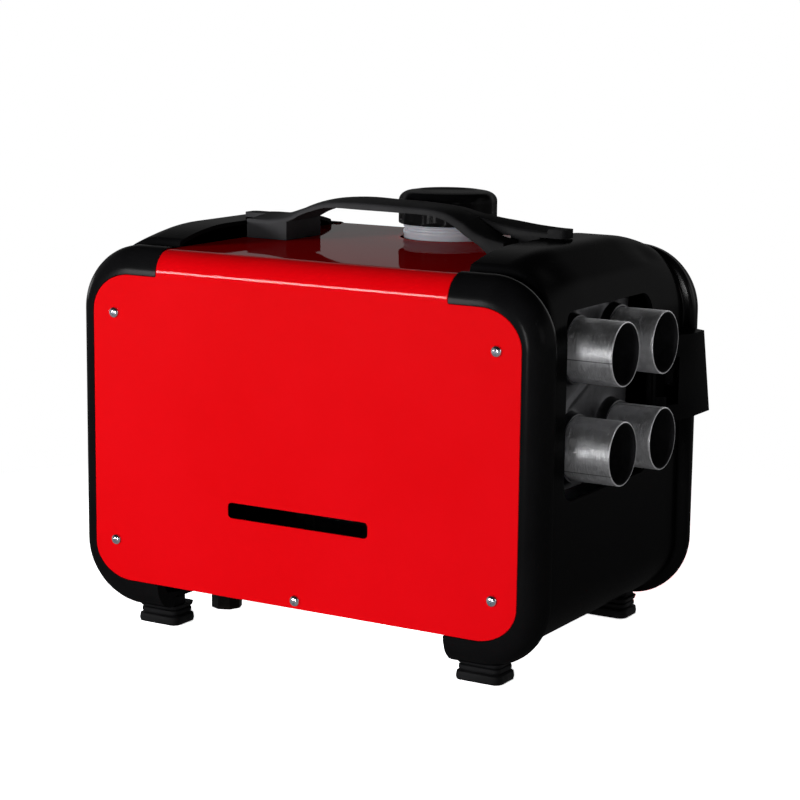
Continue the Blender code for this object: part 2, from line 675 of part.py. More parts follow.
# Base tray: a flat sheet with turned-up edges that carries everything inside
tray_half_depth = FLANGE_Y - FLANGE_WALL - TRAY_BEAD_GAP
tray_middle_x = NOTCH_X - 0.001
base_tray = add_object("base_tray", block(
    (-TRAY_HALF_LENGTH, -tray_half_depth, TRAY_Z), (TRAY_HALF_LENGTH, tray_half_depth, TRAY_TOP_Z)), BARE_STEEL)
join(base_tray, block(
    (-tray_middle_x, -FLANGE_Y, TRAY_Z + 0.0001), (tray_middle_x, FLANGE_Y, TRAY_TOP_Z - 0.0001)), "tray_middle")
for side in (-1, 1):
    inner_y = side * (FLANGE_Y - TRAY_SHEET)
    outer_y = side * (FLANGE_Y - 0.0001)
    lip = block((-tray_middle_x + 0.0001, min(inner_y, outer_y), TRAY_Z + 0.0002),
                (tray_middle_x - 0.0001, max(inner_y, outer_y), TRAY_Z + TRAY_FLANGE))
    join(base_tray, lip, f"tray_lip_{'front' if side < 0 else 'rear'}")
    inner_x = side * (TRAY_HALF_LENGTH - TRAY_SHEET)
    outer_x = side * (TRAY_HALF_LENGTH - 0.0001)
    end = block((min(inner_x, outer_x), -tray_half_depth + 0.0001, TRAY_Z + 0.0002),
                (max(inner_x, outer_x), tray_half_depth - 0.0001, TRAY_Z + TRAY_FLANGE))
    join(base_tray, end, f"tray_end_{'left' if side < 0 else 'right'}")
    hole = rod("Y", (0.0, SCREW_MID_Z), SHANK_RADIUS + FIT, side * FLANGE_Y - 0.004, side * FLANGE_Y + 0.004,
               SMALL_SIDES)
    cut(base_tray, hole, f"tray_screw_hole_{'front' if side < 0 else 'rear'}")


# Feet: moulded rubber blocks with a waist, pressed into the shells by a stem
def foot_form(x, y):
    """Stepped block: sole, groove, body, and the stem that grips the shell."""
    top_z = SHELL_BOTTOM - FIT
    levels = (
        (0.0, 0.0), (0.0048, 0.0), (0.0056, 0.0022),
        (0.0078, 0.0022), (0.0086, 0.0004), (top_z, -0.0010))
    sections = [(z, round_outline(x, y, FOOT_LENGTH / 2 - inset, FOOT_DEPTH / 2 - inset, 0.004, 2))
                for z, inset in levels]
    return loft("Z", sections)


for side_name, side in (("left", -1), ("right", 1)):
    for row, facing in (("front", -1), ("rear", 1)):
        x = side * FOOT_X
        y = facing * FOOT_Y
        foot = add_object(f"foot_{row}_{side_name}", foot_form(x, y), RUBBER)
        pad_y = facing * (FOOT_Y - FOOT_DEPTH / 2)
        pad_end = facing * (GROOVE_END_Y - 0.001)
        wall_z = SHELL_BOTTOM + WALL_INSET
        pad = block((x - FOOT_LENGTH / 2 + 0.001, min(pad_y, pad_end), SHELL_BOTTOM - 0.003),
                    (x + FOOT_LENGTH / 2 - 0.001, max(pad_y, pad_end), wall_z - FIT))
        join(foot, pad, f"foot_{row}_{side_name}_pad")
        stem = rod("Z", (x, y), FOOT_STEM_RADIUS, SHELL_BOTTOM - 0.002, wall_z + FOOT_STEM_GRIP,
                   SMALL_SIDES)
        join(foot, stem, f"foot_{row}_{side_name}_stem")


# Fuel tank: blow-moulded, with a wide threaded neck through the red top
def tank_sections(inset):
    centre_x = (TANK_LEFT_X + TANK_RIGHT_X) / 2
    centre_y = (TANK_FRONT_Y + TANK_REAR_Y) / 2
    bottom_z = TRAY_TOP_Z + FIT
    sections = []
    for z, edge in ((bottom_z + inset, 0.008), (bottom_z + inset + 0.0025, 0.0025),
                    (bottom_z + inset + 0.008, 0.0), (TANK_TOP_Z - inset - 0.008, 0.0),
                    (TANK_TOP_Z - inset - 0.0025, 0.0025), (TANK_TOP_Z - inset, 0.008)):
        sections.append((z, round_outline(
            centre_x, centre_y, (TANK_RIGHT_X - TANK_LEFT_X) / 2 - inset - edge,
            (TANK_REAR_Y - TANK_FRONT_Y) / 2 - inset - edge, TANK_CORNER - inset / 2 - edge / 2, 2)))
    return sections


fuel_tank = add_object("fuel_tank", loft("Z", tank_sections(0.0)), TANK_PLASTIC)
join(fuel_tank, rod("Z", (FILLER_X, FILLER_Y), NECK_RADIUS, TANK_TOP_Z - 0.001, NECK_TOP_Z,
                    LARGE_SIDES), "neck")
cut(fuel_tank, loft("Z", tank_sections(TANK_WALL)), "tank_inside")
cut(fuel_tank, rod("Z", (FILLER_X, FILLER_Y), NECK_RADIUS - NECK_WALL, TANK_TOP_Z - 0.02,
                   NECK_TOP_Z + 0.01, LARGE_SIDES), "neck_bore")


# Filler cap: seal on the neck, liner above it, lobed grip cap over both
def lobed_outline(scale):
    points = []
    for step in range(CAP_LOBES * 4):
        angle = 2 * math.pi * step / (CAP_LOBES * 4)
        radius = (CAP_RADIUS - CAP_LOBE + CAP_LOBE * math.cos(CAP_LOBES * angle)) * scale
        points.append((FILLER_X + radius * math.cos(angle), FILLER_Y + radius * math.sin(angle)))
    return points


seal_bottom_z = NECK_TOP_Z + FIT
liner_bottom_z = seal_bottom_z + SEAL_THICKNESS + FIT
liner_top_z = CAP_TOP_Z - CAP_ROOF - FIT
cap_bore = NECK_RADIUS + FIT
add_object("cap_seal", ring(
    "Z", (FILLER_X, FILLER_Y), NECK_RADIUS - FIT, NECK_RADIUS - NECK_WALL + 0.0005,
    seal_bottom_z, seal_bottom_z + SEAL_THICKNESS, MIDDLE_SIDES), RUBBER, (FILLER_X, FILLER_Y, seal_bottom_z))
add_object("cap_liner", rod(
    "Z", (FILLER_X, FILLER_Y), NECK_RADIUS - FIT, liner_bottom_z, liner_top_z),
    TANK_PLASTIC, (FILLER_X, FILLER_Y, liner_bottom_z))
filler_cap = add_object("filler_cap", loft("Z", [
    (CAP_BOTTOM_Z, lobed_outline(1.0)), (CAP_TOP_Z - 0.0035, lobed_outline(1.0)),
    (CAP_TOP_Z - 0.0010, lobed_outline(0.96)), (CAP_TOP_Z, lobed_outline(0.90))]),
    BLACK_SHELL, (FILLER_X, FILLER_Y, CAP_BOTTOM_Z))
cut(filler_cap, rod("Z", (FILLER_X, FILLER_Y), cap_bore, CAP_BOTTOM_Z - 0.01, CAP_TOP_Z - CAP_ROOF,
                    LARGE_SIDES), "cap_bore")


# Carrying handle: one moulded strap, forked at its right end
def handle_top(x):
    left = HANDLE_TOP_Z - 0.0195 * (1 - smooth((x - HANDLE_FOOT_LEFT_X + 0.002) / 0.075))
    right = HANDLE_TOP_Z - 0.0162 * smooth((x - HANDLE_PRONG_END_X + 0.077) / 0.105)
    return min(left, right)


def handle_underside(x):
    left = HANDLE_TOP_Z - HANDLE_LIP - 0.019 * (1 - smooth((x - HANDLE_FOOT_LEFT_X - 0.007) / 0.090))
    right = HANDLE_TOP_Z - HANDLE_LIP - 0.026 * smooth((x - HANDLE_PRONG_END_X + 0.062) / 0.065)
    return min(left, right)


def strip_outline(start, end, steps, top, underside):
    stations = [start + (end - start) * step / steps for step in range(steps + 1)]
    return [(x, top(x)) for x in stations] + [(x, underside(x)) for x in reversed(stations)]


shell_top_z = CROWN_TOP_Z + FIT
carry_handle = add_object("carry_handle", prism(
    strip_outline(HANDLE_FOOT_LEFT_X + 0.010, HANDLE_PRONG_END_X - 0.037, 16, handle_top, handle_underside), "Y", HANDLE_FRONT_Y, HANDLE_REAR_Y),
    GREY_PLASTIC)
join(carry_handle, prism(strip_outline(
    HANDLE_PRONG_END_X - 0.047, HANDLE_PRONG_END_X, 8, lambda x: handle_underside(x) + 0.0065, handle_underside),
    "Y", HANDLE_FRONT_Y + 0.0001, HANDLE_SPLIT_Y), "handle_prong")
join(carry_handle, prism(strip_outline(
    HANDLE_PRONG_END_X - 0.052, HANDLE_BAR_END_X, 8, handle_top, lambda x: shell_top_z), "Y",
    HANDLE_SPLIT_Y + HANDLE_SLOT, HANDLE_REAR_Y - 0.0001), "handle_bar")
join(carry_handle, block(
    (NOTCH_X - 0.016, HANDLE_SPLIT_Y + HANDLE_SLOT + 0.0002, SHEET_FLOOR_Z),
    (NOTCH_X - 0.001, HANDLE_REAR_Y - 0.0002, shell_top_z + 0.002)), "handle_right_foot")
join(carry_handle, block(
    (HANDLE_FOOT_LEFT_X, HANDLE_FRONT_Y + 0.0002, SHEET_FLOOR_Z),
    (HANDLE_FOOT_RIGHT_X, HANDLE_REAR_Y + 0.008, shell_top_z + 0.0008)), "handle_left_foot")
join(carry_handle, block(
    (-HANDLE_BAR_END_X, HANDLE_SPLIT_Y + HANDLE_SLOT, shell_top_z),
    (HANDLE_FOOT_LEFT_X + 0.012, HANDLE_REAR_Y - 0.0003, shell_top_z + 0.0035)), "handle_left_bar")


# Hot-air manifold: folded sheet box with four round collars
manifold_front_y = TUBE_FRONT_Y - MANIFOLD_MARGIN
manifold_rear_y = TUBE_REAR_Y + MANIFOLD_MARGIN
manifold_half_y = (manifold_rear_y - manifold_front_y) / 2
manifold_half_z = (TUBE_HIGH_Z - TUBE_LOW_Z) / 2 + MANIFOLD_MARGIN


def manifold_sections(inset, start_x, end_x):
    throat_y = HEATER_HALF_WIDTH - HEATER_WALL - FIT
    throat_z = HEATER_HALF_HEIGHT - HEATER_WALL - FIT
    throat_corner = HEATER_CORNER - HEATER_WALL
    places = (
        (start_x, throat_y, throat_z, throat_corner),
        (HEATER_OUTLET_X + 0.002, throat_y, throat_z, throat_corner),
        (HEATER_OUTLET_X + 0.024, manifold_half_y, manifold_half_z, 0.006),
        (end_x, manifold_half_y, manifold_half_z, 0.006))
    return [(x, round_outline(HEATER_Y, HEATER_Z, half_y - inset, half_z - inset, corner - inset / 2))
            for x, half_y, half_z, corner in places]


TUBES = (
    ("outlet_tube_front_high", TUBE_FRONT_Y, TUBE_HIGH_Z), ("outlet_tube_front_low", TUBE_FRONT_Y, TUBE_LOW_Z),
    ("outlet_tube_rear_high", TUBE_REAR_Y, TUBE_HIGH_Z), ("outlet_tube_rear_low", TUBE_REAR_Y, TUBE_LOW_Z))
outlet_manifold = add_object("outlet_manifold", loft("X", manifold_sections(
    0.0, HEATER_OUTLET_X - 0.010, MANIFOLD_FACE_X)), GALVANISED)
for name, y, z in TUBES:
    hole_radius = TUBE_RADIUS + FIT
    rim_radius = hole_radius + MANIFOLD_SHEET
    collar = loft("X", [(x, circle_outline(y, z, radius, TUBE_SIDES)) for x, radius in (
        (MANIFOLD_FACE_X - 0.0005, rim_radius + COLLAR_FLARE),
        (MANIFOLD_FACE_X + COLLAR_LENGTH * 0.35, rim_radius + COLLAR_FLARE * 0.35),
        (MANIFOLD_FACE_X + COLLAR_LENGTH, rim_radius))])
    join(outlet_manifold, collar, name + "_collar")
cut(outlet_manifold, loft("X", manifold_sections(
    MANIFOLD_SHEET, HEATER_OUTLET_X - 0.020, MANIFOLD_FACE_X - MANIFOLD_SHEET)), "manifold_inside")
for name, y, z in TUBES:
    cut(outlet_manifold, rod("X", (y, z), TUBE_RADIUS + FIT, MANIFOLD_FACE_X - 0.01,
                             MANIFOLD_FACE_X + COLLAR_LENGTH + 0.01, TUBE_SIDES), name + "_hole")
    add_object(name, ring("X", (y, z), TUBE_RADIUS, TUBE_RADIUS - TUBE_WALL,
                          MANIFOLD_FACE_X - TUBE_SOCKET, TUBE_MOUTH_X, TUBE_SIDES), GALVANISED)


# Heater unit: two moulded case halves round the exchanger, burner, motor and fans
def heater_half(name, upward):
    """Half of the rounded casing, with a lip along the parting line."""
    outer = round_outline(0.0, 0.0, HEATER_HALF_WIDTH, HEATER_HALF_HEIGHT, HEATER_CORNER)
    inner = round_outline(0.0, 0.0, HEATER_HALF_WIDTH - HEATER_WALL, HEATER_HALF_HEIGHT - HEATER_WALL,
                          HEATER_CORNER - HEATER_WALL)
    gap = FIT / 2
    arch = [(HEATER_HALF_WIDTH, gap)] + [point for point in outer if point[1] > 0]
    arch += [(-HEATER_HALF_WIDTH, gap), (-HEATER_HALF_WIDTH + HEATER_WALL, gap)]
    arch += [point for point in reversed(inner) if point[1] > 0]
    arch += [(HEATER_HALF_WIDTH - HEATER_WALL, gap)]
    outline = [(HEATER_Y + y, HEATER_Z + upward * z) for y, z in arch]
    half = add_object(name, prism(outline, "X", HEATER_INLET_X, HEATER_OUTLET_X), GREY_PLASTIC)
    for side in (-1, 1):
        near = HEATER_Y + side * (HEATER_HALF_WIDTH - 0.001)
        far = HEATER_Y + side * (HEATER_HALF_WIDTH + 0.005)
        low = HEATER_Z + upward * gap
        high = HEATER_Z + upward * 0.003
        lip = block((HEATER_INLET_X + 0.01, min(near, far), min(low, high)),
                    (HEATER_OUTLET_X - 0.01, max(near, far), max(low, high)))
        join(half, lip, f"{name}_lip_{'front' if side < 0 else 'rear'}")
    return half


heater_upper_case = heater_half("heater_upper_case", 1)
heater_lower_case = heater_half("heater_lower_case", -1)
heater_axis = (HEATER_Y, HEATER_Z)
case_floor_z = HEATER_Z - HEATER_HALF_HEIGHT
EXHAUST_PORT_X = EXCHANGER_START_X + 0.020
AIR_PORT_X = EXCHANGER_START_X - 0.013
for port_x, port_radius, label in ((EXHAUST_PORT_X, EXHAUST_RADIUS, "exhaust_port_hole"),
                                   (AIR_PORT_X, AIR_PIPE_RADIUS, "air_port_hole")):
    cut(heater_lower_case, rod("Z", (port_x, HEATER_Y), port_radius + FIT, case_floor_z - 0.01,
                               case_floor_z + 0.01), label)


def fin_outline():
    """Round core with straight fins all round."""
    points = []
    for fin in range(EXCHANGER_FINS):
        middle = 2 * math.pi * fin / EXCHANGER_FINS
        for radius, swing in ((EXCHANGER_CORE_RADIUS, -0.09), (EXCHANGER_FIN_RADIUS, -0.032),
                              (EXCHANGER_FIN_RADIUS, 0.032), (EXCHANGER_CORE_RADIUS, 0.09)):
            points.append((HEATER_Y + radius * math.cos(middle + swing),
                           HEATER_Z + radius * math.sin(middle + swing)))
    return points


heat_exchanger = add_object("heat_exchanger", prism(
    fin_outline(), "X", EXCHANGER_START_X, EXCHANGER_END_X), CAST_ALUMINIUM)
port_bottom_z = case_floor_z - 0.006
join(heat_exchanger, rod("Z", (EXHAUST_PORT_X, HEATER_Y), EXHAUST_RADIUS, port_bottom_z,
                         HEATER_Z - EXCHANGER_CORE_RADIUS + 0.006), "exhaust_port")
cut(heat_exchanger, rod("X", heater_axis, EXCHANGER_CORE_RADIUS - EXCHANGER_WALL,
                        EXCHANGER_START_X - 0.01, EXCHANGER_END_X - EXCHANGER_WALL), "exchanger_bore")
cut(heat_exchanger, rod("Z", (EXHAUST_PORT_X, HEATER_Y), EXHAUST_RADIUS - 0.002, port_bottom_z - 0.01,
                        HEATER_Z - 0.02), "exhaust_port_bore")

burner_flange_x = EXCHANGER_START_X - FIT
burner_tube = add_object("burner_tube", ring(
    "X", heater_axis, BURNER_RADIUS, BURNER_RADIUS - 0.0015, burner_flange_x - 0.002,
    burner_flange_x + BURNER_LENGTH, MIDDLE_SIDES), BARE_STEEL)
join(burner_tube, ring("X", heater_axis, EXCHANGER_CORE_RADIUS, BURNER_RADIUS - 0.001,
                       burner_flange_x - 0.0025, burner_flange_x, MIDDLE_SIDES), "burner_flange")
housing_end_x = burner_flange_x - 0.0025 - FIT
housing_start_x = housing_end_x - 0.024
plug_seat_x = housing_end_x - HOUSING_FLOOR
add_object("glow_plug", turned("X", heater_axis, [
    (0.0, burner_flange_x + 0.030), (PLUG_TIP_RADIUS, burner_flange_x + 0.029),
    (PLUG_TIP_RADIUS, burner_flange_x + 0.006), (PLUG_RADIUS, burner_flange_x + 0.004),
    (PLUG_RADIUS, plug_seat_x), (0.0, plug_seat_x)], SMALL_SIDES), CAST_ALUMINIUM)

housing_bore = EXCHANGER_CORE_RADIUS - HOUSING_WALL
combustion_housing = add_object("combustion_housing", turned("X", heater_axis, [
    (EXCHANGER_CORE_RADIUS, housing_start_x), (EXCHANGER_CORE_RADIUS, housing_end_x),
    (PLUG_RADIUS + FIT, housing_end_x), (PLUG_RADIUS + FIT, plug_seat_x), (housing_bore, plug_seat_x),
    (housing_bore, housing_start_x)], MIDDLE_SIDES, closed=True), CAST_ALUMINIUM)
join(combustion_housing, rod("Z", (AIR_PORT_X, HEATER_Y), AIR_PIPE_RADIUS, port_bottom_z,
                             HEATER_Z - EXCHANGER_CORE_RADIUS + 0.004), "air_port")
cut(combustion_housing, rod("Z", (AIR_PORT_X, HEATER_Y), AIR_PIPE_RADIUS - 0.002, port_bottom_z - 0.01,
                            HEATER_Z - EXCHANGER_CORE_RADIUS + 0.0045), "air_port_bore")

spider_x = housing_start_x - FIT
spider_thickness = 0.003
motor_mount = add_object("motor_mount", ring(
    "X", heater_axis, EXCHANGER_CORE_RADIUS, SHAFT_RADIUS + RUNNING_GAP, spider_x - spider_thickness, spider_x,
    MIDDLE_SIDES),
    CAST_ALUMINIUM)
arm = 0.008
spider_y = HEATER_HALF_WIDTH - HEATER_WALL - FIT
spider_z = HEATER_HALF_HEIGHT - HEATER_WALL - FIT
for label, low_y, high_y, low_z, high_z in (
        ("rear_arm", EXCHANGER_CORE_RADIUS - 0.004, spider_y, -arm, arm),
        ("front_arm", -spider_y, -EXCHANGER_CORE_RADIUS + 0.004, -arm, arm),
        ("top_arm", -arm, arm, EXCHANGER_CORE_RADIUS - 0.004, spider_z),
        ("low_arm", -arm, arm, -spider_z, -EXCHANGER_CORE_RADIUS + 0.004)):
    join(motor_mount, block(
        (spider_x - spider_thickness + 0.0001, HEATER_Y + low_y, HEATER_Z + low_z),
        (spider_x - 0.0001, HEATER_Y + high_y, HEATER_Z + high_z)), label)

motor_end_x = spider_x - spider_thickness - FIT
motor_start_x = motor_end_x - 0.030
motor_bore = SHAFT_RADIUS + RUNNING_GAP
add_object("fan_motor", turned("X", heater_axis, [
    (motor_bore, motor_start_x - 0.003), (0.008, motor_start_x - 0.003), (0.008, motor_start_x),
    (MOTOR_RADIUS, motor_start_x), (MOTOR_RADIUS, motor_end_x), (motor_bore, motor_end_x)],
    MIDDLE_SIDES, closed=True), BARE_STEEL)


def impeller(name, start_x, length, hub_radius, tip_radius, blades, look):
    """Hub with twisted blades, pressed on the motor shaft."""
    wheel = add_object(name, ring(
        "X", heater_axis, hub_radius, SHAFT_RADIUS + FIT, start_x, start_x + length, MIDDLE_SIDES), look,
        (start_x, *heater_axis))
    for blade in range(blades):
        turn = 2 * math.pi * blade / blades
        root = hub_radius - 0.002
        half = length / 2 - 0.001
        sweep = 0.35
        thick = 0.0016
        outline = [(root, -thick), (tip_radius, -thick), (tip_radius, thick), (root, thick)]
        bm = prism(outline, "X", start_x + length / 2 - half, start_x + length / 2 + half)
        for vert in bm.verts:
            lead = (vert.co.x - start_x - length / 2) / half
            angle = turn + sweep * lead
            radial, tangent = vert.co.y, vert.co.z
            vert.co.y = HEATER_Y + radial * math.cos(angle) - tangent * math.sin(angle)
            vert.co.z = HEATER_Z + radial * math.sin(angle) + tangent * math.cos(angle)
        join(wheel, bm, f"{name}_blade_{blade + 1}")
    return wheel


hot_fan_x = motor_start_x - 0.006 - 0.016
impeller("hot_air_fan", hot_fan_x, 0.016, FAN_HUB_RADIUS, FAN_RADIUS, FAN_BLADES, GREY_PLASTIC)
combustion_fan_x = spider_x + 0.003
impeller("combustion_fan", combustion_fan_x, 0.010, FAN_HUB_RADIUS, EXCHANGER_CORE_RADIUS - 0.006, 7, GREY_PLASTIC)
add_object("motor_shaft", rod(
    "X", heater_axis, SHAFT_RADIUS, hot_fan_x - 0.002, combustion_fan_x + 0.012, MIDDLE_SIDES), ZINC,
    (hot_fan_x, *heater_axis))

board_z = HEATER_Z + HEATER_HALF_HEIGHT - HEATER_WALL - 0.014
control_board = add_object("control_board", block(
    (motor_start_x - 0.002, HEATER_Y - 0.026, board_z), (motor_end_x - FIT, HEATER_Y + 0.026, board_z + 0.0016)),
    BOARD_GREEN)
join(control_board, block(
    (motor_start_x + 0.002, HEATER_Y + 0.006, board_z + 0.001), (motor_start_x + 0.012, HEATER_Y + 0.020, board_z + 0.009)),
    "board_plug")
for corner_x in (motor_start_x + 0.002, motor_end_x - 0.004):
    join(control_board, rod("Z", (corner_x, HEATER_Y - 0.020), 0.002, board_z + 0.001,
                            HEATER_Z + HEATER_HALF_HEIGHT - HEATER_WALL - FIT, SMALL_SIDES), f"board_post_{corner_x:.3f}")


# Sheet brackets that stand the heater unit on the tray
def heater_bracket(name, centre_x):
    top_z = case_floor_z - FIT
    low_z = TRAY_TOP_Z + FIT
    half = HEATER_HALF_WIDTH - 0.006
    foot = 0.010
    wall = TRAY_SHEET
    outline = [
        (-half - foot, low_z), (-half + wall, low_z), (-half + wall, top_z - wall), (half - wall, top_z - wall),
        (half - wall, low_z), (half + foot, low_z), (half + foot, low_z + wall), (half, low_z + wall),
        (half, top_z), (-half, top_z), (-half, low_z + wall), (-half - foot, low_z + wall)]
    outline = [(HEATER_Y + y, z) for y, z in outline]
    add_object(name, prism(outline, "X", centre_x - 0.010, centre_x + 0.010), BARE_STEEL)


heater_bracket("heater_bracket_left", HEATER_INLET_X + 0.022)
heater_bracket("heater_bracket_right", EXCHANGER_END_X + 0.010)


# Pipes: bent tube from a route of points, rounded by a smooth curve
def smooth_route(points, steps):
    """Points along a smooth curve through the given ones, straight over both end stretches."""
    last = len(points) - 1
    slopes = []
    for index, point in enumerate(points):
        if index <= 1:
            aim = points[1] - points[0]
        elif index >= last - 1:
            aim = points[last] - points[last - 1]
        else:
            aim = points[index + 1] - points[index - 1]
        span = min((points[other] - point).length for other in (index - 1, index + 1) if 0 <= other <= last)
        slopes.append(aim.normalized() * span)
    route = [points[0]]
    for index in range(last):
        straight = index in (0, last - 1)
        for step in (range(steps, steps + 1) if straight else range(1, steps + 1)):
            t = step / steps
            route.append(
                points[index] * (2 * t ** 3 - 3 * t ** 2 + 1) + slopes[index] * (t ** 3 - 2 * t ** 2 + t)
                + points[index + 1] * (3 * t ** 2 - 2 * t ** 3) + slopes[index + 1] * (t ** 3 - t ** 2))
    return route


def bent_pipe(name, points, radius, look, wall=0.0, sides=2):
    """A round pipe or hose along a smooth route; wall is zero for a solid one."""
    route = smooth_route([Vector(point) for point in points], 2)
    curve = bpy.data.curves.new(name, "CURVE")
    curve.dimensions = "3D"
    curve.bevel_depth = radius
    curve.bevel_resolution = sides
    curve.use_fill_caps = wall == 0.0
    spline = curve.splines.new("POLY")
    spline.points.add(len(route) - 1)
    for knot, place in zip(spline.points, route):
        knot.co = (*place, 1.0)
    curve.materials.append(finish(name, *look))
    pipe = bpy.data.objects.new(name, curve)
    pipe.parent = case_frame
    bpy.context.collection.objects.link(pipe)
    if wall:
        skin = pipe.modifiers.new("wall", "SOLIDIFY")
        skin.thickness = wall
        skin.offset = -1.0
    return pipe


pipe_top_z = port_bottom_z - FIT
pipe_fall = pipe_top_z - TRAY_TOP_Z
bend_start_z = pipe_top_z - 0.31 * pipe_fall
bend_end_z = pipe_top_z - 0.55 * pipe_fall
straight_z = pipe_top_z - 0.72 * pipe_fall
bent_pipe("exhaust_pipe", [
    (EXHAUST_PORT_X, HEATER_Y, pipe_top_z), (EXHAUST_PORT_X, HEATER_Y, pipe_top_z - 0.012),
    (EXHAUST_PORT_X - 0.010, HEATER_Y - 0.008, bend_start_z),
    (EXHAUST_END_X + 0.010, EXHAUST_END_Y + 0.008, bend_end_z),
    (EXHAUST_END_X, EXHAUST_END_Y, straight_z), (EXHAUST_END_X, EXHAUST_END_Y, TRAY_TOP_Z + 0.012),
    (EXHAUST_END_X, EXHAUST_END_Y, EXHAUST_END_Z)],
    EXHAUST_RADIUS, BARE_STEEL, PIPE_WALL)
cut(base_tray, rod("Z", (EXHAUST_END_X, EXHAUST_END_Y), EXHAUST_RADIUS + FIT, TRAY_Z - 0.01, TRAY_Z + 0.01),
    "exhaust_hole")
air_pipe_end = (AIR_PORT_X, HEATER_Y + 0.032)
bent_pipe("combustion_air_pipe", [
    (AIR_PORT_X, HEATER_Y, pipe_top_z), (AIR_PORT_X, HEATER_Y, pipe_top_z - 0.010),
    (AIR_PORT_X, HEATER_Y + 0.010, bend_start_z), (*air_pipe_end, bend_end_z),
    (*air_pipe_end, straight_z), (*air_pipe_end, TRAY_Z - 0.014)],
    AIR_PIPE_RADIUS, GREY_PLASTIC, PIPE_WALL)
cut(base_tray, rod("Z", air_pipe_end, AIR_PIPE_RADIUS + FIT, TRAY_Z - 0.01, TRAY_Z + 0.01), "air_pipe_hole")

# Dosing pump in its clamp, and the two fuel hoses
pump_axis = (PUMP_Y, PUMP_Z)
port_length = 0.012
pump_low_x = PUMP_X - PUMP_LENGTH / 2
pump_high_x = PUMP_X + PUMP_LENGTH / 2
add_object("fuel_pump", turned("X", pump_axis, [
    (0.0, pump_low_x - port_length), (PUMP_PORT_RADIUS, pump_low_x - port_length),
    (PUMP_PORT_RADIUS, pump_low_x - 0.004), (0.008, pump_low_x - 0.004), (0.008, pump_low_x + 0.010),
    (PUMP_RADIUS, pump_low_x + 0.012), (PUMP_RADIUS, pump_high_x - 0.012), (0.008, pump_high_x - 0.010),
    (0.008, pump_high_x + 0.004), (PUMP_PORT_RADIUS, pump_high_x + 0.004),
    (PUMP_PORT_RADIUS, pump_high_x + port_length), (0.0, pump_high_x + port_length)], MIDDLE_SIDES), BARE_STEEL)
pump_clamp = add_object("pump_clamp", ring(
    "X", pump_axis, PUMP_RADIUS + FIT + 0.003, PUMP_RADIUS + FIT, PUMP_X - 0.008, PUMP_X + 0.008, MIDDLE_SIDES), RUBBER)
join(pump_clamp, block(
    (PUMP_X - 0.0079, PUMP_Y - 0.003, TRAY_TOP_Z + FIT), (PUMP_X + 0.0079, PUMP_Y + 0.003, PUMP_Z - PUMP_RADIUS - 0.001)),
    "pump_clamp_stem")

tank_port_z = TRAY_TOP_Z + 0.022
tank_port = (PUMP_X + 0.020, TANK_FRONT_Y)
fuel_fitting = add_object("fuel_fitting", turned("Y", (tank_port[0], tank_port_z), [
    (0.0, TANK_FRONT_Y + TANK_WALL + 0.004), (0.0038, TANK_FRONT_Y + TANK_WALL + 0.004),
    (0.0038, TANK_FRONT_Y - FIT), (0.007, TANK_FRONT_Y - FIT), (0.007, TANK_FRONT_Y - 0.005),
    (0.003, TANK_FRONT_Y - 0.005), (0.003, TANK_FRONT_Y - 0.014), (0.0, TANK_FRONT_Y - 0.014)], SMALL_SIDES), BRASS)
cut(fuel_tank, rod("Y", (tank_port[0], tank_port_z), 0.0038 + FIT, TANK_FRONT_Y - 0.01, TANK_FRONT_Y + 0.01,
                   SMALL_SIDES), "fuel_fitting_hole")
fitting_end_y = TANK_FRONT_Y - 0.014 - FIT
pump_outlet_x = pump_low_x - port_length - FIT
pump_inlet_x = pump_high_x + port_length + FIT
bent_pipe("fuel_hose_suction", [
    (tank_port[0], fitting_end_y, tank_port_z), (tank_port[0], fitting_end_y - 0.010, tank_port_z),
    (tank_port[0] + 0.018, fitting_end_y - 0.022, tank_port_z + 0.003),
    (pump_inlet_x + 0.022, PUMP_Y + 0.022, PUMP_Z - 0.006),
    (pump_inlet_x + 0.022, PUMP_Y + 0.007, PUMP_Z - 0.001),
    (pump_inlet_x + 0.010, PUMP_Y, PUMP_Z), (pump_inlet_x, PUMP_Y, PUMP_Z)], HOSE_RADIUS, RUBBER)
bent_pipe("fuel_hose_delivery", [
    (pump_outlet_x, PUMP_Y, PUMP_Z), (pump_outlet_x - 0.010, PUMP_Y, PUMP_Z), (pump_outlet_x - 0.024, PUMP_Y, PUMP_Z + 0.012),
    (pump_outlet_x - 0.026, PUMP_Y, case_floor_z - 0.010), (pump_outlet_x - 0.026, PUMP_Y, case_floor_z - FIT)],
    HOSE_RADIUS, RUBBER)


# Cable cover: a hood on the right wall, open to the front, over the cable gland
hood_base_x = SIDE_WALL_X + FIT
hood_base_rear_y = GROOVE_END_Y - 0.002
hood_ridge_x = HALF_WIDTH + RUNNING_GAP


def hood_outline(front, rear_low, rear_high, trim):
    """Four corners of the hood at one depth, seen from the side."""
    return [(front, COVER_LOW_Z + trim), (rear_low, COVER_LOW_Z + trim),
            (rear_high, COVER_HIGH_Z - trim), (front + trim, COVER_HIGH_Z - trim)]


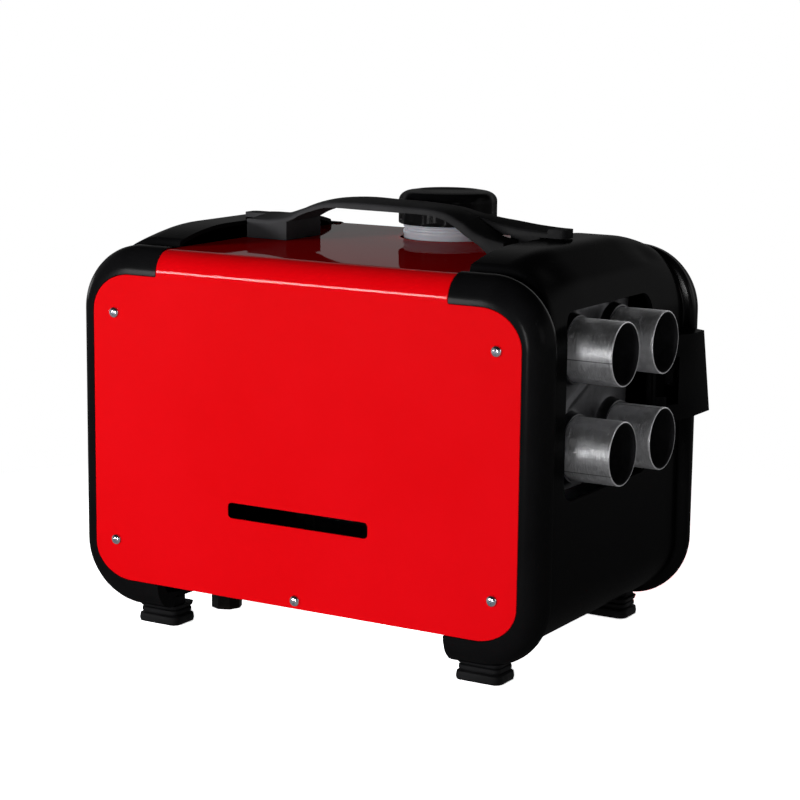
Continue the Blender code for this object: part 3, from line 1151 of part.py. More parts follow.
hood_sections = [
    (hood_base_x, hood_outline(COVER_FRONT_Y, hood_base_rear_y, hood_base_rear_y, 0.0)),
    (hood_ridge_x, hood_outline(COVER_FRONT_Y + 0.004, hood_base_rear_y, hood_base_rear_y, 0.0)),
    (hood_ridge_x + 0.001, hood_outline(COVER_FRONT_Y + 0.006, COVER_REAR_Y - 0.005, hood_base_rear_y, 0.0005)),
    (COVER_OUTER_X, hood_outline(COVER_FRONT_Y + 0.024, COVER_REAR_Y, hood_base_rear_y - 0.001, 0.004))]
cable_cover = add_object("cable_cover", loft("X", hood_sections), BLACK_SHELL)
cut(cable_cover, block(
    (hood_base_x - 0.01, COVER_FRONT_Y + 0.006, COVER_LOW_Z + 0.012),
    (COVER_OUTER_X - COVER_WALL, COVER_REAR_Y - 0.016, COVER_HIGH_Z - 0.016)), "cover_inside")
cut(cable_cover, block(
    (hood_base_x + 0.0015, COVER_FRONT_Y - 0.01, COVER_LOW_Z + 0.018),
    (COVER_OUTER_X - COVER_WALL - 0.001, COVER_FRONT_Y + 0.03, COVER_HIGH_Z - 0.017)), "cover_mouth")
add_object("cable_gland", turned("X", (COVER_Y, COVER_Z), [
    (0.004, SIDE_INNER_X - 0.004), (GLAND_RADIUS + 0.003, SIDE_INNER_X - 0.004), (GLAND_RADIUS + 0.003, SIDE_INNER_X - FIT),
    (GLAND_RADIUS, SIDE_INNER_X - FIT), (GLAND_RADIUS, SIDE_WALL_X + 0.004), (0.006, SIDE_WALL_X + 0.006),
    (0.004, SIDE_WALL_X + 0.006)], SMALL_SIDES, closed=True), RUBBER)


# Intake grille on the left: a disc with rows of arc slots and a flange behind the shell wall
def arc_slot(inner, outer, start, end, half_spoke, steps):
    """Outline of one slot between two radii and two spokes, about the heater's axis."""
    points = []
    for radius, ends in ((inner, (start, end)), (outer, (end, start))):
        margin = math.asin(half_spoke / radius) * (1 if ends[1] > ends[0] else -1)
        first = ends[0] + margin
        last = ends[1] - margin
        for step in range(steps + 1):
            angle = first + (last - first) * step / steps
            points.append((HEATER_Y + radius * math.cos(angle), HEATER_Z + radius * math.sin(angle)))
    return points


wall_out_x = -SIDE_WALL_X
wall_in_x = -SIDE_INNER_X
grille_face_x = wall_out_x + 0.0005
flange_x = wall_in_x + GRILLE_FLANGE_GAP
intake_grille = add_object("intake_grille", rod(
    "X", heater_axis, GRILLE_RADIUS, grille_face_x, flange_x + GRILLE_FLANGE_WALL / 2, LARGE_SIDES), BLACK_SHELL)
join(intake_grille, ring(
    "X", heater_axis, GRILLE_RADIUS + GRILLE_FLANGE, GRILLE_RADIUS - GRILLE_RIM / 2, flange_x,
    flange_x + GRILLE_FLANGE_WALL), "grille_flange")
row_pitch = (GRILLE_RADIUS - GRILLE_RIM - GRILLE_HUB_RADIUS + GRILLE_RING) / GRILLE_ROWS
slots_bm = bmesh.new()
for row in range(GRILLE_ROWS):
    inner = GRILLE_HUB_RADIUS + row_pitch * row
    outer = inner + row_pitch - GRILLE_RING
    for spoke in range(GRILLE_SPOKES):
        start = 2 * math.pi * spoke / GRILLE_SPOKES
        slot = arc_slot(inner, outer, start, start + 2 * math.pi / GRILLE_SPOKES, GRILLE_SPOKE / 2, 3)
        prism(slot, "X", grille_face_x - 0.01, flange_x + 0.01, slots_bm)
cut(intake_grille, slots_bm, "grille_slots")


# Controller on the left: housing in the shell wall, display lens and four buttons
bezel_back_x = wall_out_x - FIT
bezel_front_x = bezel_back_x - BEZEL_THICKNESS
controller_housing = add_object("controller_housing", prism(round_outline(
    CONTROLLER_Y, CONTROLLER_Z, CONTROLLER_LENGTH / 2 + BEZEL_MARGIN, CONTROLLER_HEIGHT / 2 + BEZEL_MARGIN, 0.006),
    "X", bezel_front_x, bezel_back_x), GREY_PLASTIC)
join(controller_housing, prism(round_outline(
    CONTROLLER_Y, CONTROLLER_Z, CONTROLLER_LENGTH / 2, CONTROLLER_HEIGHT / 2, 0.004),
    "X", bezel_front_x + 0.0004, bezel_back_x + CONTROLLER_DEPTH), "controller_body")
lens_y = CONTROLLER_Y + CONTROLLER_LENGTH / 2 - 0.004 - LENS_LENGTH / 2
lens_pocket_x = bezel_front_x + LENS_THICKNESS + FIT
cut(controller_housing, block(
    (bezel_front_x - 0.01, lens_y - LENS_LENGTH / 2 - FIT, CONTROLLER_Z - LENS_HEIGHT / 2 - FIT),
    (lens_pocket_x, lens_y + LENS_LENGTH / 2 + FIT, CONTROLLER_Z + LENS_HEIGHT / 2 + FIT)), "lens_pocket")
add_object("display_lens", block(
    (bezel_front_x, lens_y - LENS_LENGTH / 2, CONTROLLER_Z - LENS_HEIGHT / 2),
    (lens_pocket_x - FIT, lens_y + LENS_LENGTH / 2, CONTROLLER_Z + LENS_HEIGHT / 2)), DARK_GLASS)
button_y = CONTROLLER_Y - CONTROLLER_LENGTH / 2 + 0.011
BUTTONS = (
    ("button_power", button_y, CONTROLLER_Z + BUTTON_PITCH / 2),
    ("button_mode", button_y, CONTROLLER_Z - BUTTON_PITCH / 2),
    ("button_up", button_y + BUTTON_PITCH, CONTROLLER_Z + BUTTON_PITCH / 2),
    ("button_down", button_y + BUTTON_PITCH, CONTROLLER_Z - BUTTON_PITCH / 2))
for name, y, z in BUTTONS:
    start_x = bezel_front_x - BUTTON_PROUD
    well = rod("X", (y, z), BUTTON_RADIUS + FIT, bezel_front_x - 0.01,
               start_x + BUTTON_LENGTH + BUTTON_TRAVEL + FIT, SMALL_SIDES)
    cut(controller_housing, well, name + "_well")
    add_object(name, turned("X", (y, z), [
        (0.0, start_x), (BUTTON_RADIUS - 0.0006, start_x), (BUTTON_RADIUS, start_x + 0.0006),
        (BUTTON_RADIUS, start_x + BUTTON_LENGTH), (0.0, start_x + BUTTON_LENGTH)], SMALL_SIDES), RUBBER, (start_x, y, z))
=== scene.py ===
import math

import bmesh
import bpy
from mathutils import Matrix, Vector


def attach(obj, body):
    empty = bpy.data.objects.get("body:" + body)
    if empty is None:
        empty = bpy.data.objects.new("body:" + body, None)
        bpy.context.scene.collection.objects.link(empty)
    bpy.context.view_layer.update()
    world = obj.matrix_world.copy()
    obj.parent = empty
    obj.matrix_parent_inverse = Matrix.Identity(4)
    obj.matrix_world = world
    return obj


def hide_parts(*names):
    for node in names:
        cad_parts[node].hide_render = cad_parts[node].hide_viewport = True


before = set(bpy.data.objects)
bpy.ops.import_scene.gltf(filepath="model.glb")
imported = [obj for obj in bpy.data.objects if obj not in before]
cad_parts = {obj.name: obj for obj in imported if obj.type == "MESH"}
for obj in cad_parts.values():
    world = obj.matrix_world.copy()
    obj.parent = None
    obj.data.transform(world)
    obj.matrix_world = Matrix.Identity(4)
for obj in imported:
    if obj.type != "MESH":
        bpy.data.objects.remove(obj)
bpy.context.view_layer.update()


# Camera: where the photograph was taken from, in front of the heater's right end and a
# little above it. Its place was worked out from the case's own corners.
camera = bpy.data.objects.new("camera", bpy.data.cameras.new("camera"))
bpy.context.collection.objects.link(camera)
YAW, PITCH, ROLL = 30.56, 10.28, 0.68
yaw, pitch, roll = (math.radians(angle) for angle in (YAW, PITCH, ROLL))
ahead = Vector((-math.sin(yaw) * math.cos(pitch), math.cos(yaw) * math.cos(pitch), -math.sin(pitch)))
level_right = ahead.cross(Vector((0.0, 0.0, 1.0))).normalized()
level_up = level_right.cross(ahead)
right = math.cos(roll) * level_right + math.sin(roll) * level_up
up = math.cos(roll) * level_up - math.sin(roll) * level_right
CAMERA_PLACE, SENSOR_MM, LENS_MM = (0.78781, -1.34228, 0.44111), 36.0, 101.55
camera.matrix_world = Matrix.Translation(CAMERA_PLACE) @ Matrix((right, up, -ahead)).transposed().to_4x4()
camera.data.sensor_width = SENSOR_MM
camera.data.lens = LENS_MM
bpy.context.scene.camera = camera
bpy.context.scene.view_settings.view_transform = "Standard"


# Studio: a white floor that runs out into a white surround, dim overhead, with a wide and an
# upright lamp before the front panel and weaker ones for both ends and the back.
class Value:
    """A shader socket that takes part in Python arithmetic."""

    def __init__(self, look, socket):
        self.look = look
        self.socket = socket

    def maths(self, operation, *values):
        return self.look.node("ShaderNodeMath", {"operation": operation}, dict(enumerate(values)))

    def __add__(self, other):
        return self.maths("ADD", self, other)

    def __sub__(self, other):
        return self.maths("SUBTRACT", self, other)

    def __rsub__(self, other):
        return self.maths("SUBTRACT", other, self)

    def __mul__(self, other):
        return self.maths("MULTIPLY", self, other)

    def __pow__(self, other):
        return self.maths("POWER", self, other)

    def __abs__(self):
        return self.maths("ABSOLUTE", self)

    def most(self, other):
        """The larger of two values."""
        return self.maths("MAXIMUM", self, other)

    __radd__ = __add__
    __rmul__ = __mul__


class Look:
    """A node tree for one finish; node() adds any node and returns one of its outputs."""

    def __init__(self, owner):
        owner.use_nodes = True
        self.tree = owner.node_tree
        self.place = None

    def node(self, kind, settings, sockets, output=0):
        made = self.tree.nodes.new(kind)
        for name, value in settings.items():
            setattr(made, name, value)
        for name, value in sockets.items():
            if isinstance(value, Value):
                self.tree.links.new(value.socket, made.inputs[name])
            else:
                made.inputs[name].default_value = value
        return Value(self, made.outputs[output])

    def feed(self, node_name, **values):
        for name, value in values.items():
            self.tree.links.new(value.socket, self.tree.nodes[node_name].inputs[name.replace("_", " ")])

    def surface(self, **values):
        self.feed("Principled BSDF", **values)

    def either(self, factor, first, second):
        """First shader where the factor is 0, second where it is 1."""
        return self.node("ShaderNodeMixShader", {}, {0: factor, 1: first, 2: second})

    def ramp(self, value, low, high, start=0.0, end=1.0):
        return self.node("ShaderNodeMapRange", {"clamp": True}, {0: value, 1: low, 2: high, 3: start, 4: end})

    def noise(self, scale, detail, roughness=0.5, vector=None):
        return self.node("ShaderNodeTexNoise", {}, {
            "Vector": vector or self.place, "Scale": scale, "Detail": detail, "Roughness": roughness})

    def parts(self, vector):
        """The X, Y and Z of a vector."""
        split = self.node("ShaderNodeSeparateXYZ", {}, {"Vector": vector}).socket.node
        return [Value(self, output) for output in split.outputs]

    def rays(self):
        """Rays straight from the camera, and these with those that metal or glass sends on."""
        path = self.node("ShaderNodeLightPath", {}, {}).socket.node
        straight, mirrored, through = (Value(self, path.outputs[f"Is {kind} Ray"])
                                       for kind in ("Camera", "Glossy", "Transmission"))
        return straight, straight.most(mirrored.most(through))


WHITE, FLOOR_RADIUS = (1.0, 1.0, 1.0, 1.0), 4.0
world = bpy.data.worlds.new("studio")
bpy.context.scene.world = world
sky = Look(world)
dim = sky.node("ShaderNodeBackground", {}, {"Color": (0.95, 0.97, 1.0, 1.0), "Strength": 0.006})
behind, height = sky.parts(sky.node("ShaderNodeTexCoord", {}, {}, "Generated"))[1:]
glow = sky.ramp(height, 0.30, 0.55, 1.0, 0.05) * sky.ramp(behind, -0.25, 0.30, 0.12, 1.0)
camera_ray, seen = sky.rays()
white = sky.node("ShaderNodeBackground", {}, {"Color": WHITE, "Strength": glow.most(camera_ray)})
sky.feed("World Output", Surface=sky.either(seen, dim, white))

floor_bm = bmesh.new()
bmesh.ops.create_circle(floor_bm, cap_ends=True, segments=96, radius=FLOOR_RADIUS)
floor_mesh = bpy.data.meshes.new("floor")
floor_bm.to_mesh(floor_mesh)
floor_bm.free()
floor = bpy.data.objects.new("floor", floor_mesh)
bpy.context.collection.objects.link(floor)
floor_material = bpy.data.materials.new("white_floor")
floor_mesh.materials.append(floor_material)
sweep = Look(floor_material)
spot = sweep.node("ShaderNodeTexCoord", {}, {}, "Object")
radius = sweep.node("ShaderNodeVectorMath", {"operation": "LENGTH"}, {0: spot}, "Value")
matt = sweep.node("ShaderNodeBsdfDiffuse", {}, {"Color": (24.0, 24.0, 24.0, 1.0)})
plain = sweep.node("ShaderNodeBsdfDiffuse", {}, {"Color": (0.6, 0.6, 0.6, 1.0)})
lit = sweep.node("ShaderNodeEmission", {}, {"Color": WHITE, "Strength": 1.0})
mirrored = sweep.node("ShaderNodeEmission", {}, {
    "Color": WHITE, "Strength": sweep.ramp(radius, 0.3, 1.5, 0.22, 0.5)})
seen_floor = sweep.either(sweep.ramp(radius, 0.22, 0.60, 0.80, 1.0), matt, lit)
camera_ray, seen = sweep.rays()
shown = sweep.either(camera_ray, mirrored, seen_floor)
sweep.feed("Material Output", Surface=sweep.either(seen, plain, shown))


def lamp(name, azimuth, elevation, distance, size, strength, aim_height=0.15):
    """A rectangular lamp; azimuth is from the front towards the left, in degrees."""
    light = bpy.data.lights.new(name, "AREA")
    light.shape = "RECTANGLE"
    light.size, light.size_y = size
    light.energy = strength * math.pi * size[0] * size[1]
    holder = bpy.data.objects.new(name, light)
    bpy.context.collection.objects.link(holder)
    turn, rise = math.radians(azimuth), math.radians(elevation)
    towards = Vector((-math.sin(turn) * math.cos(rise), -math.cos(turn) * math.cos(rise), math.sin(rise)))
    facing = towards.to_track_quat("Z", "Y").to_matrix().to_4x4()
    holder.matrix_world = Matrix.Translation(Vector((0.0, 0.0, aim_height)) + distance * towards) @ facing
    holder.visible_camera = False
    return holder


lamp("left_strip", 31.5, 4.0, 2.2, (0.62, 0.30), 50.0, 0.255)
lamp("front_lamp", -7.0, -1.0, 2.2, (0.3, 0.7), 35.0, 0.25)
lamp("right_lamp", -80.0, 16.0, 1.6, (0.5, 0.5), 1.4)
lamp("back_lamp", 180.0, 0.0, 2.0, (1.4, 0.24), 22.0, 0.14).visible_glossy = False
lamp("left_fill", 100.0, 4.0, 2.0, (0.6, 0.3), 12.0)


# Base tray: a folded sheet of plain steel that everything inside stands on. The end
# shells close round it, and one screw at the front and one at the back hold the panels.
def scuffed(look, low, high, scale=60.0):
    """A value between low and high that drifts over the surface, as handling leaves it."""
    spots = look.noise(scale, 5.0, 0.6)
    return look.ramp(spots, 0.35, 0.65, low, high)


def finish(name, colour, roughness, metallic=0.0, **constants):
    """A Principled material with its own socket values and an Object coordinate."""
    material = bpy.data.materials.new(name)
    look = Look(material)
    shader = look.tree.nodes["Principled BSDF"]
    shader.inputs["Base Color"].default_value = (*colour, 1.0)
    shader.inputs["Roughness"].default_value = roughness
    shader.inputs["Metallic"].default_value = metallic
    for socket, value in constants.items():
        shader.inputs[socket.replace("_", " ")].default_value = value
    look.place = look.node("ShaderNodeTexCoord", {}, {}, "Object")
    return look, material


def relief(look, height, strength, distance):
    look.surface(Normal=look.node("ShaderNodeBump", {}, {
        "Height": height, "Strength": strength, "Distance": distance}, "Normal"))


def tint(look, factor, first, second):
    """First colour where the factor is 0, second where it is 1."""
    first, second = (colour if isinstance(colour, Value) else (*colour, 1.0) for colour in (first, second))
    return look.node("ShaderNodeMix", {"data_type": "RGBA"}, {0: factor, 6: first, 7: second}, 2)


def mottled(look, scale, dark, pale):
    """A colour that drifts between two over the surface."""
    return tint(look, scuffed(look, 0.0, 1.0, scale), dark, pale)


def streaks(look, stretch, scale):
    """Fine noise drawn out along an axis, like the marks of rolling or brushing."""
    turned_place = look.node("ShaderNodeMapping", {}, {"Vector": look.place, "Scale": stretch}, "Vector")
    return look.noise(scale, 4.0, 0.55, turned_place)


def sheet_steel(name, colour, stretch):
    look, material = finish(name, colour, 0.42, 1.0)
    rolled = streaks(look, stretch, 90.0)
    darker = tuple(part * 0.72 for part in colour)
    look.surface(Base_Color=tint(look, rolled, darker, colour), Roughness=scuffed(look, 0.34, 0.56))
    relief(look, rolled, 0.12, 0.0004)
    return material


def keep(names, material):
    """Give CAD nodes that stay as they are their own finish."""
    for name in names:
        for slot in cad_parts[name].material_slots:
            slot.material = material


plain_steel = sheet_steel("plain_sheet_steel", (0.40, 0.41, 0.43), (1.0, 12.0, 12.0))
keep(("base_tray", "heater_bracket_left", "heater_bracket_right"), plain_steel)


# Feet: four moulded rubber blocks with two grooves round each. A stem on top is pushed
# through the shell and grips behind its wall.
CASE_X = -0.0105
look, soft_rubber = finish("moulded_rubber", (0.004, 0.004, 0.0045), 0.62, Specular_IOR_Level=0.08)
look.surface(Roughness=scuffed(look, 0.50, 0.75, 140.0),
             Base_Color=mottled(look, 35.0, (0.0030, 0.0030, 0.0033), (0.0084, 0.0084, 0.0092)))
relief(look, look.noise(2200.0, 2.0), 0.25, 0.0002)


def piece(name, bm, material, body, nodes=(), edges=0.0, angle=30.0):
    """Link a mesh made in case coordinates, round its edges, and let it ride on a body."""
    bmesh.ops.translate(bm, verts=bm.verts, vec=(CASE_X, 0.0, 0.0))
    mesh = bpy.data.meshes.new(name)
    bm.to_mesh(mesh)
    bm.free()
    mesh.materials.append(material)
    made = bpy.data.objects.new(name, mesh)
    bpy.context.collection.objects.link(made)
    if edges:
        rounding = made.modifiers.new("rounded_edges", "BEVEL")
        rounding.width = edges
        rounding.segments = 2
        rounding.limit_method = "ANGLE"
        rounding.angle_limit = math.radians(angle)
        rounding.harden_normals = False
    mesh.shade_smooth()
    mesh.set_sharp_from_angle(angle=math.radians(40.0))
    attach(made, body)
    if nodes:
        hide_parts(*nodes)
    return made


def outward(bm):
    """Turn every face of a closed form outwards."""
    bmesh.ops.recalc_face_normals(bm, faces=bm.faces)


def turn_shape(bm, angle, axis):
    bmesh.ops.rotate(bm, verts=bm.verts, cent=(0.0, 0.0, 0.0), matrix=Matrix.Rotation(angle, 3, axis))


def round_edges(bm, edges, offset, segments):
    bmesh.ops.bevel(bm, geom=list(edges), offset=offset, segments=segments, profile=0.5, affect="EDGES",
                    material=-1)


def rounded_block(low, high, corner=0.0, steps=3, bm=None, axis=2):
    """A box between two corners; its four edges along one axis may be rounded."""
    bm = bm or bmesh.new()
    low, high = Vector(low), Vector(high)
    place = Matrix.Translation((low + high) / 2) @ Matrix.Diagonal((*(high - low), 1.0))
    made = bmesh.ops.create_cube(bm, size=1.0, matrix=place)
    if corner:
        round_edges(bm, {edge for vert in made["verts"] for edge in vert.link_edges
                         if abs(edge.verts[0].co[axis] - edge.verts[1].co[axis]) > 1e-6}, corner, steps)
    return bm


FOOT_X, FOOT_Y = 0.1282, 0.0942
FOOT_HALF_X, FOOT_HALF_Y, FOOT_CORNER = 0.015, 0.0105, 0.0045
SHOULDER_HALF_X, SHOULDER_IN, SHOULDER_CORNER = 0.014, 0.004, 0.002
SHOULDER_LOW, SHOULDER_HIGH = 0.0120, 0.0207
STEM_RADIUS, STEM_LENGTH, STEM_MIDDLE = 0.003, 0.013, 0.0195
FOOT_LEVELS = (
    (0.0000, 0.0006), (0.0008, -0.0010), (0.0030, -0.0014), (0.0064, -0.0010), (0.0069, -0.0002),
    (0.0072, 0.0016), (0.0076, 0.0016), (0.0079, 0.0004), (0.0083, 0.0), (0.0105, 0.0), (0.0109, 0.0006),
    (0.0112, 0.0020), (0.0116, 0.0020), (0.0119, 0.0002), (0.0123, -0.0004), (0.0147, -0.0010))
for row, facing in (("front", -1), ("rear", 1)):
    for side_name, side in (("left", -1), ("right", 1)):
        bm = rounded_block((-FOOT_HALF_X, -FOOT_HALF_Y, 0.0), (FOOT_HALF_X, FOOT_HALF_Y, FOOT_LEVELS[1][0]),
                           FOOT_CORNER, 5)
        bottom = min(bm.faces, key=lambda face: face.calc_center_median().z)
        top = max(bm.faces, key=lambda face: face.calc_center_median().z)
        bmesh.ops.scale(bm, vec=(0.95, 0.93, 1.0), verts=list(bottom.verts))
        for lower, upper in zip(FOOT_LEVELS, FOOT_LEVELS[1:]):
            grown = bmesh.ops.extrude_face_region(bm, geom=[top])["geom"]
            bmesh.ops.delete(bm, geom=[top], context="FACES_ONLY")
            top = next(item for item in grown if isinstance(item, bmesh.types.BMFace))
            for vert in top.verts:
                vert.co.z = upper[0]
                for axis, half in ((0, FOOT_HALF_X), (1, FOOT_HALF_Y)):
                    vert.co[axis] *= (half - upper[1]) / (half - lower[1])
        near, far = sorted((facing * FOOT_HALF_Y, -facing * SHOULDER_IN))
        rounded_block((-SHOULDER_HALF_X, near, SHOULDER_LOW), (SHOULDER_HALF_X, far, SHOULDER_HIGH),
                      SHOULDER_CORNER, 3, bm)
        bmesh.ops.create_cone(bm, cap_ends=True, segments=20, radius1=STEM_RADIUS, radius2=STEM_RADIUS,
                              depth=STEM_LENGTH, matrix=Matrix.Translation((0.0, 0.0, STEM_MIDDLE)))
        bmesh.ops.translate(bm, verts=bm.verts, vec=(side * FOOT_X, facing * FOOT_Y, 0.0))
        outward(bm)
        node = f"foot_{row}_{side_name}"
        piece(node + "_block", bm, soft_rubber, "housing", (node,), edges=0.0003)


# Heater unit: a finned aluminium exchanger over a steel burner tube, with the motor and
# its two fans in line behind it, all clamped between two moulded cases.
look, case_plastic = finish("grey_case_plastic", (0.055, 0.055, 0.060), 0.48)
look.surface(Roughness=scuffed(look, 0.40, 0.60),
             Base_Color=mottled(look, 20.0, (0.045, 0.045, 0.050), (0.068, 0.068, 0.074)))
relief(look, look.noise(1400.0, 2.0), 0.2, 0.0002)
keep(("heater_upper_case", "heater_lower_case", "hot_air_fan", "combustion_fan", "combustion_air_pipe"),
     case_plastic)

look, cast_metal = finish("cast_aluminium", (0.58, 0.58, 0.59), 0.5, 1.0)
grain = look.noise(900.0, 4.0)
look.surface(Roughness=look.ramp(grain, 0.3, 0.7, 0.40, 0.62),
             Base_Color=mottled(look, 30.0, (0.46, 0.46, 0.47), (0.64, 0.64, 0.65)))
relief(look, grain, 0.5, 0.0004)
keep(("heat_exchanger", "combustion_housing", "motor_mount", "glow_plug"), cast_metal)

look, turned_steel = finish("turned_steel", (0.46, 0.46, 0.48), 0.32, 1.0)
tool_marks = streaks(look, (30.0, 1.0, 1.0), 60.0)
look.surface(Roughness=look.ramp(tool_marks, 0.3, 0.7, 0.24, 0.44),
             Base_Color=tint(look, tool_marks, (0.38, 0.38, 0.40), (0.52, 0.52, 0.54)))
keep(("fan_motor", "fuel_pump", "motor_shaft"), turned_steel)

look, burnt_steel = finish("heat_tinted_steel", (0.050, 0.042, 0.038), 0.62, 1.0)
look.surface(Roughness=scuffed(look, 0.50, 0.75, 90.0),
             Base_Color=mottled(look, 25.0, (0.006, 0.0055, 0.0055), (0.022, 0.018, 0.015)))
keep(("burner_tube", "exhaust_pipe"), burnt_steel)

look, board_lacquer = finish("green_board", (0.015, 0.12, 0.045), 0.35, Coat_Weight=0.3, Coat_Roughness=0.2)
tracks = look.node("ShaderNodeTexBrick", {"offset": 0.35}, {
    "Vector": look.place, "Scale": 160.0, "Mortar Size": 0.09, "Color1": (0.012, 0.10, 0.04, 1.0),
    "Color2": (0.018, 0.14, 0.055, 1.0), "Mortar": (0.05, 0.26, 0.10, 1.0)})
look.surface(Base_Color=tracks)
keep(("control_board",), board_lacquer)


# Fuel line: a dosing pump held by a rubber clamp, a brass fitting in the tank wall, and
# two rubber hoses pushed over their ports.
look, brass = finish("turned_brass", (0.72, 0.50, 0.20), 0.28, 1.0)
look.surface(Roughness=scuffed(look, 0.20, 0.42, 120.0),
             Base_Color=mottled(look, 40.0, (0.60, 0.40, 0.15), (0.80, 0.58, 0.26)))
keep(("fuel_fitting",), brass)
keep(("fuel_hose_suction", "fuel_hose_delivery", "pump_clamp", "cable_gland", "cap_seal"), soft_rubber)


# Fuel tank: a blow-moulded bottle of milky plastic that fills the back of the case. Its
# wide threaded neck stands up through the red top.
FILLER_X, FILLER_Y = 0.002, 0.071
look, tank_plastic = finish("milky_tank_plastic", (0.40, 0.41, 0.45), 0.34, Specular_IOR_Level=0.20,
                            Subsurface_Weight=0.12, Subsurface_Scale=0.004)
look.surface(Roughness=scuffed(look, 0.26, 0.44, 70.0),
             Base_Color=mottled(look, 18.0, (0.36, 0.37, 0.41), (0.46, 0.47, 0.51)))
relief(look, look.noise(300.0, 3.0), 0.15, 0.0004)


def turned_form(bm, axis, centre, profile, steps=64):
    """Spin a line of (radius, place along the axis) once round; both ends may close."""
    direction = Vector([float(letter == axis) for letter in "XYZ"])
    side = Vector((0.0, 1.0, 0.0)) if axis == "X" else Vector((1.0, 0.0, 0.0))
    verts = [bm.verts.new(Vector(centre) + direction * along + side * radius) for radius, along in profile]
    edges = [bm.edges.new(pair) for pair in zip(verts, verts[1:])]
    bmesh.ops.spin(bm, geom=verts + edges, cent=centre, axis=direction, angle=math.radians(360.0),
                   steps=steps, use_merge=True)
    bmesh.ops.remove_doubles(bm, verts=bm.verts, dist=1e-6)
    outward(bm)
    return bm


TANK_LOW, TANK_HIGH, TANK_CORNER, TANK_EDGE = (-0.120, 0.036, 0.0378), (0.110, 0.117, 0.257), 0.014, 0.007
NECK_RADIUS, THREAD_RADIUS, THREAD_START, THREAD_PITCH = 0.0310, 0.0318, 0.2740, 0.0045
tank_bm = rounded_block(TANK_LOW, TANK_HIGH, TANK_CORNER, 5)
tank_bm.normal_update()
level_faces = [face for face in tank_bm.faces if abs(face.normal.z) > 0.9]
round_edges(tank_bm, {edge for face in level_faces for edge in face.edges}, TANK_EDGE, 4)
neck = [(0.0315, 0.2560), (0.0315, 0.2695), (0.0318, 0.2700), (0.0320, 0.2706), (0.0320, 0.2716),
        (0.0318, 0.2722), (NECK_RADIUS, 0.2726)]
for turn in range(4):
    start = THREAD_START + THREAD_PITCH * turn
    neck += [(NECK_RADIUS, start), (THREAD_RADIUS, start + 0.0008), (THREAD_RADIUS, start + 0.0016),
             (NECK_RADIUS, start + 0.0024)]
neck += [(NECK_RADIUS, 0.2906), (0.0306, 0.2910), (0.0284, 0.2910), (0.0280, 0.2906), (0.0280, 0.2560)]
turned_form(tank_bm, "Z", (FILLER_X, FILLER_Y, 0.0), neck, 96)
piece("tank_with_neck", tank_bm, tank_plastic, "housing", ("fuel_tank",))
keep(("cap_liner",), tank_plastic)


# End shells: two glossy black cups, moulded in one with a raised ridge, a bead round
# each red panel and a higher flat pad on top. The right one is open for the outlets.
FACE_Y, CORNER = 0.125, 0.045
SHELL_BOTTOM, RIDGE_TOP, NOTCH_X = 0.015, 0.268, 0.113
ARC_X, ARC_LOW_Z, ARC_HIGH_Z = 0.136, 0.060, 0.223
BEAD_SIDE, BEAD_TOP, BEAD_BOTTOM = 0.015, 0.019, 0.020
RIDGE_REAR_Y, GROOVE_END_Y, CROWN_FOOT_Y, CROWN_FLAT = 0.104, 0.0995, 0.0955, 0.039
WALL_INSET, GROOVE_INSET, SHELL_WALL, FIT = 0.006, 0.0072, 0.003, 0.0003
FLANGE_Y, FLANGE_WIDTH, BEAD_DEPTH = FACE_Y - 0.0012 - FIT, 0.024, 0.017
RIDGE_ROUND = ((0.0026, 0.0), (0.0018, 0.0002), (0.0010, 0.0006), (0.0004, 0.0012), (0.0, 0.0020),
               (-0.0004, 0.0030))
CROWN_RISE, CROWN_FALL, CROWN_HOLLOW = 0.017, 0.008, 0.0035
look, gloss_black = finish("gloss_black_plastic", (0.0028, 0.0028, 0.0030), 0.30, Specular_IOR_Level=0.0,
                           Coat_Roughness=0.20)
dust = look.noise(700.0, 6.0, 0.7)
haze = scuffed(look, 0.0, 1.0, 14.0)
side, height = look.parts(look.place)[1:]
side = abs(side)
rubbed_edge = look.ramp(side, 0.1010, 0.1026) * look.ramp(side, 0.1072, 0.1088, 1.0, 0.0)
rubbed_edge = rubbed_edge * look.ramp(height, 0.214, 0.240)
settled = look.ramp(dust, 0.60, 0.82) * 0.6 + haze * 0.25
look.surface(Base_Color=tint(look, settled, (0.0034, 0.0034, 0.0037), (0.013, 0.013, 0.014)),
             Coat_Weight=0.068 - haze * 0.015 + rubbed_edge * 0.32, Roughness=0.26 + haze * 0.10)
relief(look, look.noise(240.0, 2.0), 0.05, 0.0003)


def smooth(value):
    value = min(max(value, 0.0), 1.0)
    return value * value * (3 - 2 * value)


def crown_stations(steps=12):
    return [CROWN_FOOT_Y - (CROWN_FOOT_Y - CROWN_FLAT) * step / steps for step in range(steps + 1)]


